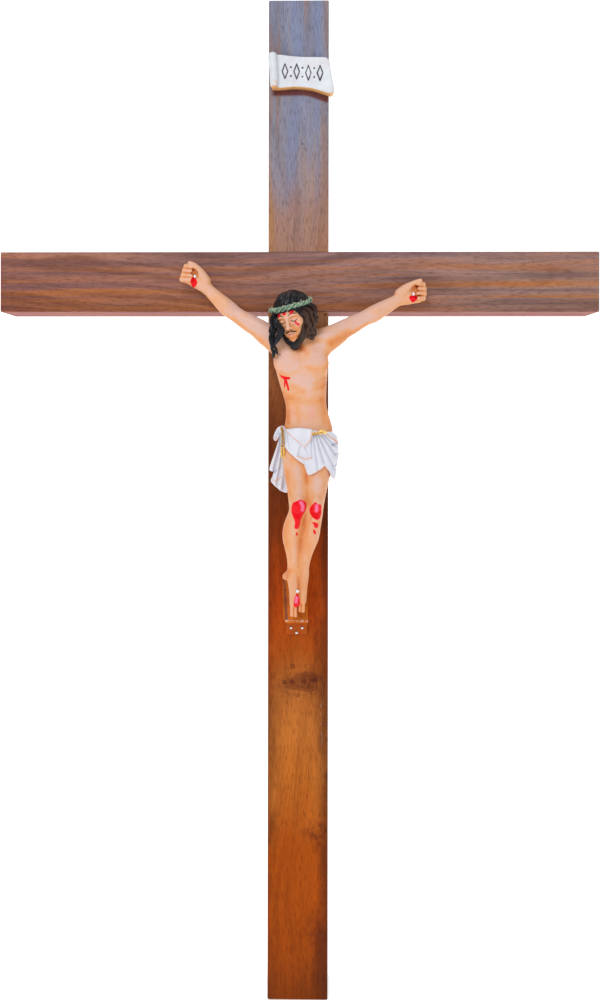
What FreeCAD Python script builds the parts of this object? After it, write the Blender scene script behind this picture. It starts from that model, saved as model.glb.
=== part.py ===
"""Wooden crucifix on a staff socket: two half-lapped beams, a cast and painted figure in three
castings, a scroll plaque, a wedge footrest, round-headed nails and a hanging ring on the back.

Frame: millimetres, +Z up the upright, -Y towards the viewer of the figure, +X to the viewer's
right. The origin is the middle of the foot's end face, at the mouth of the staff socket.
The figure's own right side is therefore at -X.
"""

import FreeCAD, Part
import math
import os

import Sketcher

V = FreeCAD.Vector
doc = FreeCAD.newDocument("crucifix")

# ---------------------------------------------------------------- driving dimensions

SIZES = [
    ("cross_height", 914.0),
    ("cross_span", 548.0),
    ("beam_width", 55.0),
    ("beam_depth", 40.0),
    ("arm_centre", 656.5),      # height of the crossbar's centre line
    ("edge_ease", 1.2),         # radius of every eased wooden edge
    ("screw_pitch", 28.0),      # square of four screws behind the lap
    ("screw_shank", 2.0),       # radius
    ("screw_head", 4.0),        # radius
    ("screw_length", 32.0),
    ("screw_slot", 1.1),
    ("hole_play", 0.06),        # radial play of every drilled hole
    ("socket_bore", 11.0),      # radius of the staff's spigot
    ("socket_wall", 1.5),
    ("socket_depth", 90.0),
    ("socket_pin_height", 45.0),
    ("nail_head", 1.5),         # radius
    ("nail_shank", 0.8),        # radius
    ("nail_dome", 1.1),
    ("pin_head", 1.35),
    ("pin_shank", 0.6),
    ("pin_length", 13.0),
    ("hand_nail_length", 26.0),
    ("foot_nail_length", 46.0),
    ("foot_nail_x", 0.0),
    ("foot_nail_height", 380.5),
    ("right_hand_x", -93.0),
    ("right_hand_height", 659.5),
    ("left_hand_x", 103.5),
    ("left_hand_height", 643.5),
    ("tack_spread", 10.1),      # across the two upper footrest pins
    ("tack_x", -1.2),
    ("tack_height", 341.0),
    ("tack_drop", 4.4),
    ("rest_width", 21.8),
    ("rest_x", -1.8),
    ("rest_back_height", 387.0),
    ("rest_front_height", 350.5),
    ("rest_reach", 18.0),       # how far the wedge stands out of the upright
    ("rest_lip", 3.0),
    ("tab_width", 18.8),
    ("tab_bottom", 335.0),
    ("tab_thickness", 2.4),
    ("plaque_width", 56.0),
    ("plaque_height", 31.0),
    ("plaque_thickness", 6.5),
    ("plaque_roll", 5.2),       # radius of the rolled left end
    ("plaque_x", 2.0),
    ("plaque_z", 845.5),
    ("plaque_pin_spread", 28.0),
    ("plaque_pin_radius", 1.0),
    ("plaque_pin_length", 14.0),
    ("dowel_radius", 2.5),
    ("dowel_length", 18.0),
    ("shoulder_right", -23.0),  # planes where the arm castings meet the body
    ("shoulder_left", 26.5),
    ("armpit_height", 590.0),
    ("back_screw_x", 9.0),
    ("back_screw_height", 519.0),
    ("back_screw_length", 56.0),
    ("hanger_height", 868.0),   # height of the ring's hinge line
    ("hanger_width", 12.0),
    ("hanger_length", 30.0),
    ("hanger_sheet", 1.2),
    ("ring_wire", 1.25),        # radius
    ("ring_half", 10.0),        # half width at the wire's centre
    ("ring_drop", 17.0),
    ("ring_play", 0.15),
    ("crown_radius", 18.0),
    ("crown_strand", 1.9),
]

sheet = doc.addObject("Spreadsheet::Sheet", "Sizes")
for row, (alias, value) in enumerate(SIZES, start=1):
    sheet.set(f"A{row}", alias)
    sheet.set(f"B{row}", str(value))
    sheet.setAlias(f"B{row}", alias)
doc.recompute()
size = dict(SIZES)

front = -size["beam_depth"] / 2
back = size["beam_depth"] / 2
parts = {}


def bind(obj, prop, expression):
    """Ties a property to the sheet; bare aliases in the expression are the sheet's own."""
    for alias in sorted(size, key=len, reverse=True):
        expression = expression.replace(f"<{alias}>", f"Sizes.{alias}")
    obj.setExpression(prop, expression)


def keep(label, obj):
    obj.Label = label
    parts[label] = obj
    return obj


# ---------------------------------------------------------------- PartDesign helpers

def plane(body, role):
    return next(f for f in body.Origin.OriginFeatures if f.Role == role)


def sketch_on(body, role, name, offset=None):
    """A sketch on one of the body's own planes, moved along its normal by an expression."""
    sk = body.newObject("Sketcher::SketchObject", name)
    sk.AttachmentSupport = (plane(body, role), [""])
    sk.MapMode = "FlatFace"
    if offset:
        bind(sk, "AttachmentOffset.Base.z", offset)
    return sk


def value_of(expression):
    text = expression
    for alias in sorted(size, key=len, reverse=True):
        text = text.replace(f"<{alias}>", repr(size[alias]))
    total = FreeCAD.Units.Quantity(text).Value
    return total


def hold(sk, kind, geometry, point, expression):
    """Dimensions a point from the sketch's origin, whichever side of it the point lies on."""
    value = value_of(expression)
    if value < 0:
        order, expression, value = (geometry, point, -1, 1), f"-1 * ({expression})", -value
    else:
        order = (-1, 1, geometry, point)
    index = sk.addConstraint(Sketcher.Constraint(kind, *order, value))
    name = f"c{index}"
    sk.renameConstraint(index, name)
    bind(sk, f"Constraints.{name}", expression)


def outline(sk, corners):
    """A closed polygon whose corners are pairs of expressions."""
    points = [V(value_of(x), value_of(y), 0) for x, y in corners]
    count = len(points)
    for i in range(count):
        sk.addGeometry(Part.LineSegment(points[i], points[(i + 1) % count]), False)
    for i in range(count):
        sk.addConstraint(Sketcher.Constraint("Coincident", i, 2, (i + 1) % count, 1))
    for i, (x, y) in enumerate(corners):
        hold(sk, "DistanceX", i, 1, x)
        hold(sk, "DistanceY", i, 1, y)


def circles(sk, centres, radius):
    for i, (x, y) in enumerate(centres):
        centre = V(value_of(x), value_of(y), 0)
        sk.addGeometry(Part.Circle(centre, V(0, 0, 1), value_of(radius)), False)
        hold(sk, "DistanceX", i, 3, x)
        hold(sk, "DistanceY", i, 3, y)
        index = sk.addConstraint(Sketcher.Constraint("Radius", i, value_of(radius)))
        sk.renameConstraint(index, f"r{i}")
        bind(sk, f"Constraints.r{i}", radius)


def rectangle(x0, y0, x1, y1):
    return [(x0, y0), (x1, y0), (x1, y1), (x0, y1)]


def new_body(label):
    return keep(label, doc.addObject("PartDesign::Body", label))


def pad(body, sk, name, length, midplane=False, reverse=False):
    feature = body.newObject("PartDesign::Pad", name)
    feature.Profile = sk
    bind(feature, "Length", length)
    feature.SideType = "Symmetric" if midplane else "One side"
    feature.Reversed = reverse
    doc.recompute()
    return feature


def cut(body, sk, name, length, reverse):
    """A pocket that must remove something."""
    before = body.Shape.Volume
    feature = body.newObject("PartDesign::Pocket", name)
    feature.Profile = sk
    bind(feature, "Length", length)
    feature.Reversed = reverse
    doc.recompute()
    if body.Shape.Volume > before - 1:
        raise RuntimeError(f"{name} cuts nothing")
    return feature


def ease(body, feature, name, radius, wanted):
    """Rounds the edges of a feature that the test picks."""
    edges = [f"Edge{i}" for i, e in enumerate(feature.Shape.Edges, 1) if wanted(e)]
    fillet = body.newObject("PartDesign::Fillet", name)
    fillet.Base = (feature, edges)
    bind(fillet, "Radius", radius)
    doc.recompute()
    return fillet


def drill(body, name, centres, radius, depth, face, towards_front, sink=None):
    """Round holes along Y from the plane y = face, countersunk where sink gives a head radius."""
    sk = sketch_on(body, "XZ_Plane", name + "_sketch", f"-1 * ({face})")
    circles(sk, centres, radius)
    doc.recompute()
    before = body.Shape.Volume
    hole = body.newObject("PartDesign::Hole", name)
    hole.Profile = sk
    doc.recompute()
    hole.ThreadType = "None"
    bind(hole, "Diameter", f"2 * ({radius})")
    hole.DepthType = "Dimension"
    bind(hole, "Depth", depth)
    hole.DrillPoint = "Flat"
    hole.Reversed = towards_front
    if sink:
        hole.HoleCutType = "Countersink"
        hole.HoleCutCustomValues = True
        bind(hole, "HoleCutDiameter", f"2 * ({sink})")
        hole.HoleCutCountersinkAngle = 90
    doc.recompute()
    if body.Shape.Volume > before - 1:
        raise RuntimeError(f"{name} cuts nothing")
    return hole


# ---------------------------------------------------------------- the two beams

ARM_LOW = "<arm_centre> - <beam_width> / 2"
ARM_HIGH = "<arm_centre> + <beam_width> / 2"
LAP_SCREWS = [
    (f"{sx} * <screw_pitch> / 2", f"<arm_centre> + {sz} * <screw_pitch> / 2")
    for sx in (-1, 1)
    for sz in (-1, 1)
]
FOOT_NAIL = [("<foot_nail_x>", "<foot_nail_height>")]
TACKS = [
    ("<tack_x> - <tack_spread> / 2", "<tack_height>"),
    ("<tack_x> + <tack_spread> / 2", "<tack_height>"),
    ("<tack_x>", "<tack_height> - <tack_drop>"),
]
PLAQUE_PINS = [
    ("<plaque_x> - <plaque_pin_spread> / 2", "<plaque_z>"),
    ("<plaque_x> + <plaque_pin_spread> / 2", "<plaque_z>"),
]
HANGER_SCREWS = [
    ("0 * <hanger_height>", "<hanger_height> - 8"),
    ("0 * <hanger_height>", "<hanger_height> - 23"),
]


def upright_beam():
    body = new_body("upright_beam")
    sk = sketch_on(body, "XY_Plane", "upright_section")
    outline(sk, rectangle("-1 * <beam_width> / 2", "-1 * <beam_depth> / 2",
                          "<beam_width> / 2", "<beam_depth> / 2"))
    block = pad(body, sk, "upright_block", "<cross_height>")
    ease(body, block, "upright_eased", "<edge_ease>", lambda e: True)
    lap = sketch_on(body, "XZ_Plane", "upright_lap_sketch")
    outline(lap, rectangle("-1 * <beam_width>", ARM_LOW, "<beam_width>", ARM_HIGH))
    cut(body, lap, "upright_lap", "<beam_depth>", True)
    drill(body, "lap_screw_holes", LAP_SCREWS, "<screw_shank> + <hole_play>",
          "<beam_depth> / 2", "<beam_depth> / 2", True, "<screw_head> + <hole_play>")
    drill(body, "back_screw_hole", [("<back_screw_x>", "<back_screw_height>")],
          "<screw_shank> + <hole_play>", "<beam_depth>", "<beam_depth> / 2", True,
          "<screw_head> + <hole_play>")
    drill(body, "hanger_screw_holes", HANGER_SCREWS, "1.2 * 1 + <hole_play>", "14 * 1",
          "<beam_depth> / 2", True)
    drill(body, "socket_screw_hole", [("0 * <socket_depth>", "<socket_pin_height>")],
          "1.2 * 1 + <hole_play>", "8.6 * 1", "<beam_depth> / 2", True, "2.6 * 1 + <hole_play>")
    drill(body, "foot_nail_hole", FOOT_NAIL, "<nail_shank> + <hole_play>", "22 * 1",
          "-1 * <beam_depth> / 2", False)
    drill(body, "tack_holes", TACKS, "<pin_shank> + <hole_play>", "12 * 1",
          "-1 * <beam_depth> / 2", False)
    drill(body, "plaque_pin_holes", PLAQUE_PINS, "<plaque_pin_radius> + <hole_play>", "11 * 1",
          "-1 * <beam_depth> / 2", False)
    seat = sketch_on(body, "XY_Plane", "socket_seat_sketch")
    circles(seat, [("0 * <socket_bore>", "0 * <socket_bore>")],
            "<socket_bore> + <socket_wall> + <hole_play>")
    cut(body, seat, "socket_seat", "<socket_depth> + 0.5", True)


def crossbar_beam():
    body = new_body("crossbar_beam")
    sk = sketch_on(body, "YZ_Plane", "crossbar_section")
    outline(sk, rectangle("-1 * <beam_depth> / 2", ARM_LOW, "<beam_depth> / 2", ARM_HIGH))
    block = pad(body, sk, "crossbar_block", "<cross_span>", midplane=True)
    ease(body, block, "crossbar_eased", "<edge_ease>", lambda e: True)
    lap = sketch_on(body, "XZ_Plane", "crossbar_lap_sketch")
    outline(lap, rectangle("-1 * <beam_width> / 2", "<arm_centre> - <beam_width>",
                           "<beam_width> / 2", "<arm_centre> + <beam_width>"))
    cut(body, lap, "crossbar_lap", "<beam_depth>", False)
    drill(body, "pilot_holes", LAP_SCREWS, "<screw_shank> + <hole_play>",
          "<screw_length> - <beam_depth> / 2 + 0.5", "0 * <beam_depth>", True)
    drill(body, "hand_nail_holes",
          [("<right_hand_x>", "<right_hand_height>"), ("<left_hand_x>", "<left_hand_height>")],
          "<nail_shank> + <hole_play>", "18 * 1", "-1 * <beam_depth> / 2", False)


# ---------------------------------------------------------------- screws, nails and pins

def primitive(kind, name, **expressions):
    obj = doc.addObject(kind, name)
    for prop, expression in expressions.items():
        bind(obj, prop, expression)
    return obj


def fuse(name, shapes):
    obj = doc.addObject("Part::MultiFuse", name)
    obj.Shapes = shapes
    return obj


ALONG_FRONT = FreeCAD.Rotation(V(1, 0, 0), 90)    # local +Z becomes -Y
ALONG_BACK = FreeCAD.Rotation(V(1, 0, 0), -90)    # local +Z becomes +Y


def wood_screw(label, place, shank, head, length, sink_below=0.0):
    """A slotted countersunk screw driven from the back; local z = 0 is the face of its head."""
    head_cone = primitive("Part::Cone", label + "_head", Radius1=shank, Radius2=head,
                          Height=f"({head}) - ({shank})")
    head_cone.Placement.Base = V(0, 0, -(value_of(head) - value_of(shank)))
    core = primitive("Part::Cylinder", label + "_core", Radius=shank,
                     Height=f"({length}) - 4 - ({head}) + ({shank})")
    core.Placement.Base = V(0, 0, -(value_of(length) - 4))
    tip = primitive("Part::Cone", label + "_tip", Radius1="0.4 * 1", Radius2=shank,
                    Height="4 * 1")
    tip.Placement.Base = V(0, 0, -value_of(length))
    slot = primitive("Part::Box", label + "_slot", Length=f"3 * ({head})", Width="<screw_slot>",
                     Height="2 * <screw_slot>")
    slot.Placement.Base = V(-1.5 * value_of(head), -size["screw_slot"] / 2, -size["screw_slot"])
    blank = fuse(label + "_blank", [head_cone, core, tip])
    screw = doc.addObject("Part::Cut", label)
    screw.Base, screw.Tool = blank, slot
    screw.Placement = FreeCAD.Placement(place - V(0, sink_below, 0), ALONG_BACK)
    return keep(label, screw)


def round_nail(label, place, shank, head, dome, length):
    """A domed nail driven from the front; local z = 0 is the underside of its head."""
    cap = primitive("Part::Ellipsoid", label + "_cap", Radius1=dome, Radius2=head, Radius3=head)
    cap.Angle1, cap.Angle2 = 0, 90
    stem = primitive("Part::Cylinder", label + "_stem", Radius=shank, Height=f"({length}) - 2.5")
    stem.Placement.Base = V(0, 0, -(value_of(length) - 2.5))
    point = primitive("Part::Cone", label + "_point", Radius1="0.15 * 1", Radius2=shank,
                      Height="2.5 * 1")
    point.Placement.Base = V(0, 0, -value_of(length))
    nail = fuse(label, [cap, stem, point])
    nail.Placement = FreeCAD.Placement(place, ALONG_FRONT)
    return keep(label, nail)


def fasteners():
    for i, (x, z) in enumerate(LAP_SCREWS, 1):
        wood_screw(f"lap_screw_{i}", V(value_of(x), back, value_of(z)),
                   "<screw_shank>", "<screw_head>", "<screw_length>")
    wood_screw("corpus_back_screw", V(size["back_screw_x"], back, size["back_screw_height"]),
               "<screw_shank>", "<screw_head>", "<back_screw_length>")
    for i, (x, z) in enumerate(HANGER_SCREWS, 1):
        wood_screw(f"hanger_screw_{i}",
                   V(value_of(x), back + size["hanger_sheet"], value_of(z)),
                   "1.2 * 1", "2.3 * 1", "14 * 1")
    wood_screw("socket_screw", V(0, back, size["socket_pin_height"]), "1.2 * 1", "2.6 * 1",
               "8.3 * 1")
    round_nail("right_hand_nail",
               V(size["right_hand_x"], front - HAND_NAIL_STAND, size["right_hand_height"]),
               "<nail_shank>", "<nail_head>", "<nail_dome>", "<hand_nail_length>")
    round_nail("left_hand_nail",
               V(size["left_hand_x"], front - HAND_NAIL_STAND, size["left_hand_height"]),
               "<nail_shank>", "<nail_head>", "<nail_dome>", "<hand_nail_length>")
    round_nail("feet_nail",
               V(size["foot_nail_x"], front - FOOT_NAIL_STAND, size["foot_nail_height"]),
               "<nail_shank>", "<nail_head>", "<nail_dome>", "<foot_nail_length>")
    for i, (x, z) in enumerate(TACKS, 1):
        round_nail(f"footrest_pin_{i}",
                   V(value_of(x), front - size["tab_thickness"] - 0.4, value_of(z)),
                   "<pin_shank>", "<pin_head>", "<nail_dome>", "<pin_length>")
    for i, (x, z) in enumerate(PLAQUE_PINS, 1):
        pin = primitive("Part::Cylinder", f"titulus_pin_{i}", Radius="<plaque_pin_radius>",
                        Height="<plaque_pin_length>")
        pin.Placement = FreeCAD.Placement(
            V(value_of(x), front + 10, value_of(z)), ALONG_FRONT)
        keep(f"titulus_pin_{i}", pin)


HAND_NAIL_STAND = 13.2   # underside of the nail's head, in front of the crossbar
FOOT_NAIL_STAND = 31.2


# ---------------------------------------------------------------- footrest and plaque

def footrest():
    """A wedge with a nailing tab below it, its section drawn in the Y-Z plane."""
    body = new_body("footrest")
    face = "-1 * <beam_depth> / 2"
    sk = sketch_on(body, "YZ_Plane", "wedge_section", "<rest_x>")
    outline(sk, [
        (face, "<rest_front_height> - <rest_lip>"),
        (face, "<rest_back_height>"),
        (f"{face} - 1.5", "<rest_back_height>"),
        (f"{face} - <rest_reach>", "<rest_front_height>"),
        (f"{face} - <rest_reach>", "<rest_front_height> - <rest_lip>"),
    ])
    wedge = pad(body, sk, "wedge", "<rest_width>", midplane=True)
    ease(body, wedge, "wedge_eased", "0.5 * 1",
         lambda e: e.BoundBox.YMin < value_of(face) - 1 and e.BoundBox.YMax < value_of(face) - 1)
    tab = sketch_on(body, "YZ_Plane", "tab_section", "<tack_x>")
    outline(tab, rectangle(f"{face} - <tab_thickness>", "<tab_bottom>", face,
                           "<rest_front_height> - 1"))
    pad(body, tab, "tab", "<tab_width>", midplane=True)
    drill(body, "tab_holes", TACKS, "<pin_shank> + <hole_play>", "8 * 1",
          "-1 * <beam_depth> / 2 - 5", False)
    drill(body, "nail_hole", FOOT_NAIL, "<nail_shank> + <hole_play>", "30 * 1",
          "-1 * <beam_depth> / 2 - 25", False)


def titulus_scroll():
    """A cast scroll plaque: a slightly skewed sheet with a rolled left end."""
    body = new_body("titulus_scroll")
    sk = sketch_on(body, "XZ_Plane", "scroll_outline", "<beam_depth> / 2")
    outline(sk, [
        ("<plaque_x> - <plaque_width> / 2", "<plaque_z> - <plaque_height> / 2 + 1"),
        ("<plaque_x> + 8", "<plaque_z> - <plaque_height> / 2 - 0.5"),
        ("<plaque_x> + <plaque_width> / 2 + 1.5", "<plaque_z> - <plaque_height> / 2 - 3.5"),
        ("<plaque_x> + <plaque_width> / 2 - 1", "<plaque_z> + <plaque_height> / 2 - 4"),
        ("<plaque_x> + <plaque_width> / 2 - 4", "<plaque_z> + <plaque_height> / 2 - 1"),
        ("<plaque_x> - <plaque_width> / 2", "<plaque_z> + <plaque_height> / 2 + 1.5"),
    ])
    sheet_pad = pad(body, sk, "scroll_sheet", "<plaque_thickness>")
    roll = sketch_on(body, "XY_Plane", "roll_section", "<plaque_z> - <plaque_height> / 2 + 1")
    circles(roll, [("<plaque_x> - <plaque_width> / 2 + 3",
                    "-1 * <beam_depth> / 2 - <plaque_roll> - 0.05")], "<plaque_roll>")
    rolled = pad(body, roll, "scroll_roll", "<plaque_height> + 0.8")
    ease(body, rolled, "scroll_eased", "0.8 * 1",
         lambda e: e.BoundBox.XMin > size["plaque_x"] + 15 and e.BoundBox.YMax < front - 1)
    drill(body, "pin_holes", PLAQUE_PINS, "<plaque_pin_radius> + <hole_play>", "4.5 * 1",
          "-1 * <beam_depth> / 2", True)


# ---------------------------------------------------------------- staff socket and hanger

def staff_socket():
    body = new_body("staff_socket")
    sk = sketch_on(body, "XY_Plane", "tube_section")
    circles(sk, [("0 * <socket_bore>", "0 * <socket_bore>")], "<socket_bore> + <socket_wall>")
    pad(body, sk, "tube", "<socket_depth>")
    bore = sketch_on(body, "XY_Plane", "bore_section")
    circles(bore, [("0 * <socket_bore>", "0 * <socket_bore>")], "<socket_bore>")
    cut(body, bore, "bore", "<socket_depth> + 1", True)
    drill(body, "screw_dimple", [("0 * <socket_depth>", "<socket_pin_height>")],
          "1.2 * 1 + <hole_play>", "1 * 1 + 2", "<socket_bore> + <socket_wall> + 2", True)


def hinge_line():
    """Y of the ring's hinge: the wire, its play and the strap's wall stand off the wood."""
    return back + size["ring_wire"] + size["ring_play"] + size["hanger_sheet"]


def hanger_strap():
    """A folded brass strap: a plate with a rolled eye at its top for the ring's bar."""
    body = new_body("hanger_strap")
    eye = "<ring_wire> + <ring_play>"
    hinge = f"<beam_depth> / 2 + {eye} + <hanger_sheet>"
    sk = sketch_on(body, "YZ_Plane", "plate_section")
    outline(sk, rectangle("<beam_depth> / 2", "<hanger_height> - <hanger_length>",
                          "<beam_depth> / 2 + <hanger_sheet>", "<hanger_height>"))
    pad(body, sk, "plate", "<hanger_width>", midplane=True)
    roll = sketch_on(body, "YZ_Plane", "eye_section")
    circles(roll, [(hinge, "<hanger_height>")], f"{eye} + <hanger_sheet>")
    pad(body, roll, "eye", "<hanger_width>", midplane=True)
    bore = sketch_on(body, "YZ_Plane", "eye_bore_section", "-1 * <hanger_width>")
    circles(bore, [(hinge, "<hanger_height>")], eye)
    cut(body, bore, "eye_bore", "3 * <hanger_width>", True)
    drill(body, "strap_holes", HANGER_SCREWS, "1.2 * 1 + <hole_play>", "<hanger_sheet>",
          "<beam_depth> / 2 + <hanger_sheet>", True, "2.3 * 1 + <hole_play>")


def hanger_ring():
    """A D of round wire whose straight bar turns in the strap's eye; it hangs down at rest."""
    half, drop, corner = size["ring_half"], size["ring_drop"], 2.2
    y, z = hinge_line(), size["hanger_height"]
    low = z - drop + half                      # where the round end begins
    bend = corner * (1 - math.cos(math.pi / 4))

    def at(x, height):
        return V(x, y, height)

    edges = [
        Part.LineSegment(at(-half + corner, z), at(half - corner, z)).toShape(),
        Part.Arc(at(half - corner, z), at(half - bend, z - bend), at(half, z - corner)).toShape(),
        Part.LineSegment(at(half, z - corner), at(half, low)).toShape(),
        Part.Arc(at(half, low), at(0, z - drop), at(-half, low)).toShape(),
        Part.LineSegment(at(-half, low), at(-half, z - corner)).toShape(),
        Part.Arc(at(-half, z - corner), at(-half + bend, z - bend), at(-half + corner, z)).toShape(),
    ]
    path = Part.Wire(edges)
    section = Part.Wire(Part.Circle(at(-half + corner, z), V(1, 0, 0), size["ring_wire"]).toShape())
    ring = doc.addObject("Part::Feature", "hanger_ring")
    ring.Shape = path.makePipeShell([section], True, False)
    return keep("hanger_ring", ring)


# ---------------------------------------------------------------- the figure

def section(centre, normal, wide, deep):
    """A closed oval square to a direction: half width across X, half depth across Y."""
    normal = V(*normal).normalize()
    side = V(0, 1, 0).cross(normal)
    if side.Length < 0.2:
        side = V(1, 0, 0)
    side = side.normalize()
    other = normal.cross(side)
    count = 12
    points = []
    for i in range(count):
        turn = 2 * math.pi * i / count
        points.append(V(*centre) + side * (wide * math.cos(turn)) + other * (deep * math.sin(turn)))
    curve = Part.BSplineCurve()
    curve.interpolate(points, PeriodicFlag=True)
    return Part.Wire(curve.toShape())


def limb(stations):
    """A loft along stations (x, y, z, half width, half depth), each square to the way it runs."""
    wires = []
    for i, (x, y, z, wide, deep) in enumerate(stations):
        a = stations[max(i - 1, 0)]
        b = stations[min(i + 1, len(stations) - 1)]
        wires.append(section((x, y, z), (b[0] - a[0], b[1] - a[1], b[2] - a[2]), wide, deep))
    return Part.makeLoft(wires, True, False)


def spindle(centre, radius, half_length, turn=FreeCAD.Rotation()):
    """An ellipsoid of revolution, longer along its own Z than across."""
    ellipse = Part.Ellipse(V(0, 0, half_length), V(radius, 0, 0), V(0, 0, 0))
    arc = Part.Arc(ellipse, 0, math.pi).toShape()
    axis = Part.makeLine(V(0, 0, -half_length), V(0, 0, half_length))
    solid = Part.Face(Part.Wire([arc, axis])).revolve(V(0, 0, 0), V(0, 0, 1), 360)
    solid.Placement = FreeCAD.Placement(V(*centre), turn)
    return solid


HEAD = V(-4.5, -50.0, 621.5)
HEAD_TURN = FreeCAD.Rotation(V(0, 1, 0), -14) * FreeCAD.Rotation(V(1, 0, 0), 18)
CROWN_RISE = 8.0    # from the head's middle, along its own axis
TORSO = [
    (9.0, -41.0, 496.0, 17.0, 12.0),
    (9.0, -41.0, 512.0, 20.5, 14.5),
    (9.0, -40.5, 526.0, 21.0, 14.0),
    (8.5, -40.0, 541.0, 17.2, 11.5),
    (5.8, -41.5, 556.0, 19.6, 14.0),
    (3.6, -42.5, 574.0, 23.2, 16.0),
    (2.0, -42.0, 588.0, 25.5, 14.5),
    (1.8, -41.5, 600.0, 24.5, 12.0),
    (2.2, -42.0, 607.0, 17.0, 9.0),
    (2.4, -42.5, 611.0, 9.0, 7.0),
]
NECK = [
    (3.2, -42.0, 598.0, 9.0, 8.5),
    (1.5, -44.0, 608.0, 7.6, 7.4),
    (-1.5, -47.0, 617.0, 7.6, 7.4),
]
RIGHT_LEG = [
    (1.5, -42.0, 512.0, 12.0, 12.5),
    (-2.5, -48.0, 494.0, 11.0, 11.5),
    (-0.6, -57.0, 470.0, 9.0, 9.5),
    (0.6, -63.0, 456.0, 8.2, 9.5),
    (-3.2, -60.0, 444.0, 7.8, 9.0),
    (-5.6, -55.5, 430.0, 8.4, 9.5),
    (-4.4, -49.5, 412.0, 6.0, 7.0),
    (-3.6, -46.0, 400.0, 5.2, 5.8),
    (-4.6, -43.5, 389.0, 6.4, 7.4),
    (-3.0, -45.5, 376.0, 5.4, 5.6),
    (-2.8, -46.5, 364.0, 4.6, 4.0),
    (-2.8, -46.5, 357.5, 3.6, 2.4),
]
LEFT_LEG = [
    (17.5, -42.0, 512.0, 12.5, 12.5),
    (19.5, -47.0, 494.0, 11.4, 11.5),
    (17.0, -56.0, 470.0, 8.6, 9.5),
    (16.0, -60.5, 456.0, 7.2, 9.0),
    (13.6, -57.5, 444.0, 7.2, 8.5),
    (11.6, -52.5, 430.0, 8.2, 9.0),
    (7.4, -45.0, 412.0, 6.0, 6.8),
    (5.4, -40.5, 400.0, 5.2, 5.6),
    (4.2, -38.5, 389.0, 5.4, 6.6),
    (4.0, -40.5, 376.0, 4.8, 5.6),
    (3.8, -43.0, 366.0, 4.0, 3.6),
    (3.6, -44.0, 360.5, 3.4, 2.2),
]
CLOTH = [
    (9.0, -41.5, 529.0, 21.6, 15.0),
    (9.0, -42.0, 519.0, 24.0, 17.5),
    (8.6, -43.5, 504.0, 26.4, 18.5),
    (9.0, -46.0, 488.0, 24.0, 18.0),
    (8.6, -48.0, 477.0, 21.0, 16.5),
]
DRAPE = [
    (-13.0, -41.0, 523.0, 6.0, 7.0),
    (-17.0, -40.0, 513.0, 6.5, 9.0),
    (-17.5, -38.0, 494.0, 7.5, 9.5),
    (-18.0, -37.0, 478.0, 6.6, 8.5),
    (-17.0, -36.0, 467.5, 5.0, 7.0),
]
LOCK = [
    (-12.0, -50.0, 622.0, 6.5, 6.5),
    (-17.5, -53.5, 609.0, 5.2, 5.2),
    (-18.0, -57.0, 596.0, 3.6, 3.6),
    (-16.5, -57.5, 588.0, 1.8, 1.8),
]
RIGHT_ARM = [
    (-10.0, -40.5, 596.0, 10.5, 10.0),
    (-22.0, -39.5, 603.0, 11.2, 10.5),
    (-32.0, -37.5, 610.5, 9.4, 9.4),
    (-44.0, -35.0, 617.5, 8.4, 8.0),
    (-54.5, -33.0, 624.0, 7.4, 7.2),
    (-64.0, -31.5, 631.5, 7.6, 7.4),
    (-75.0, -29.8, 641.5, 6.2, 6.2),
    (-84.5, -28.5, 650.5, 4.8, 5.2),
    (-89.5, -28.0, 655.0, 6.6, 6.2),
    (-96.5, -27.0, 661.0, 9.4, 7.4),
    (-103.0, -27.0, 665.5, 8.4, 7.0),
    (-107.5, -27.0, 668.5, 4.6, 4.6),
]
LEFT_ARM = [
    (14.0, -40.5, 595.5, 10.5, 10.0),
    (26.0, -39.5, 602.0, 11.2, 10.5),
    (37.0, -37.5, 609.0, 9.4, 9.4),
    (48.0, -35.0, 615.0, 8.4, 8.0),
    (59.5, -33.0, 621.2, 7.4, 7.2),
    (69.5, -31.5, 626.5, 7.6, 7.4),
    (81.0, -29.8, 633.5, 6.2, 6.2),
    (91.5, -28.5, 639.3, 4.8, 5.2),
    (97.0, -28.0, 642.0, 6.6, 6.2),
    (104.0, -27.0, 645.5, 9.4, 7.4),
    (111.0, -27.0, 649.0, 8.4, 7.0),
    (116.0, -27.0, 651.5, 4.6, 4.6),
]
SHOULDER_TOP = 617.0
RIGHT_SHOULDER = V(size["shoulder_right"], -39.2, 603.5)
LEFT_SHOULDER = V(size["shoulder_left"], -39.2, 602.5)
RIGHT_PEG = V(-0.85, 0.08, 0.5)
LEFT_PEG = V(0.86, 0.08, 0.48)


def rod(middle, direction, radius, length):
    direction = V(direction).normalize()
    return Part.makeCylinder(radius, length, middle - direction * (length / 2), direction)


def behind_face():
    """Everything behind the beams' front face, which the castings lie against."""
    return Part.makeBox(400, 60, 400, V(-200, front - 0.05, 340))


def crown_shape(play=0.0):
    ring = Part.makeTorus(size["crown_radius"], size["crown_strand"] + play)
    ring.Placement = crown_place()
    return ring


def crown_place():
    return FreeCAD.Placement(HEAD + HEAD_TURN.multVec(V(0.5, 1.0, CROWN_RISE)), HEAD_TURN)


def largest_solid(shape):
    return max(shape.Solids, key=lambda s: s.Volume)


def head_shape():
    """An oval head with a plain wedge of a nose, under a cap of hair with a lock at one side."""
    def local(x, y, z):
        return HEAD + HEAD_TURN.multVec(V(x, y, z))

    skull = spindle(HEAD, 15.0, 21.0, HEAD_TURN)
    hair = spindle(local(0.5, 3.2, 1.0), 18.6, 21.6, HEAD_TURN)
    ridge = spindle(local(0, -15.2, 0.5), 1.9, 5.2, HEAD_TURN * FreeCAD.Rotation(V(1, 0, 0), -12))
    return skull.fuse([hair, ridge, limb(LOCK)])


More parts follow.
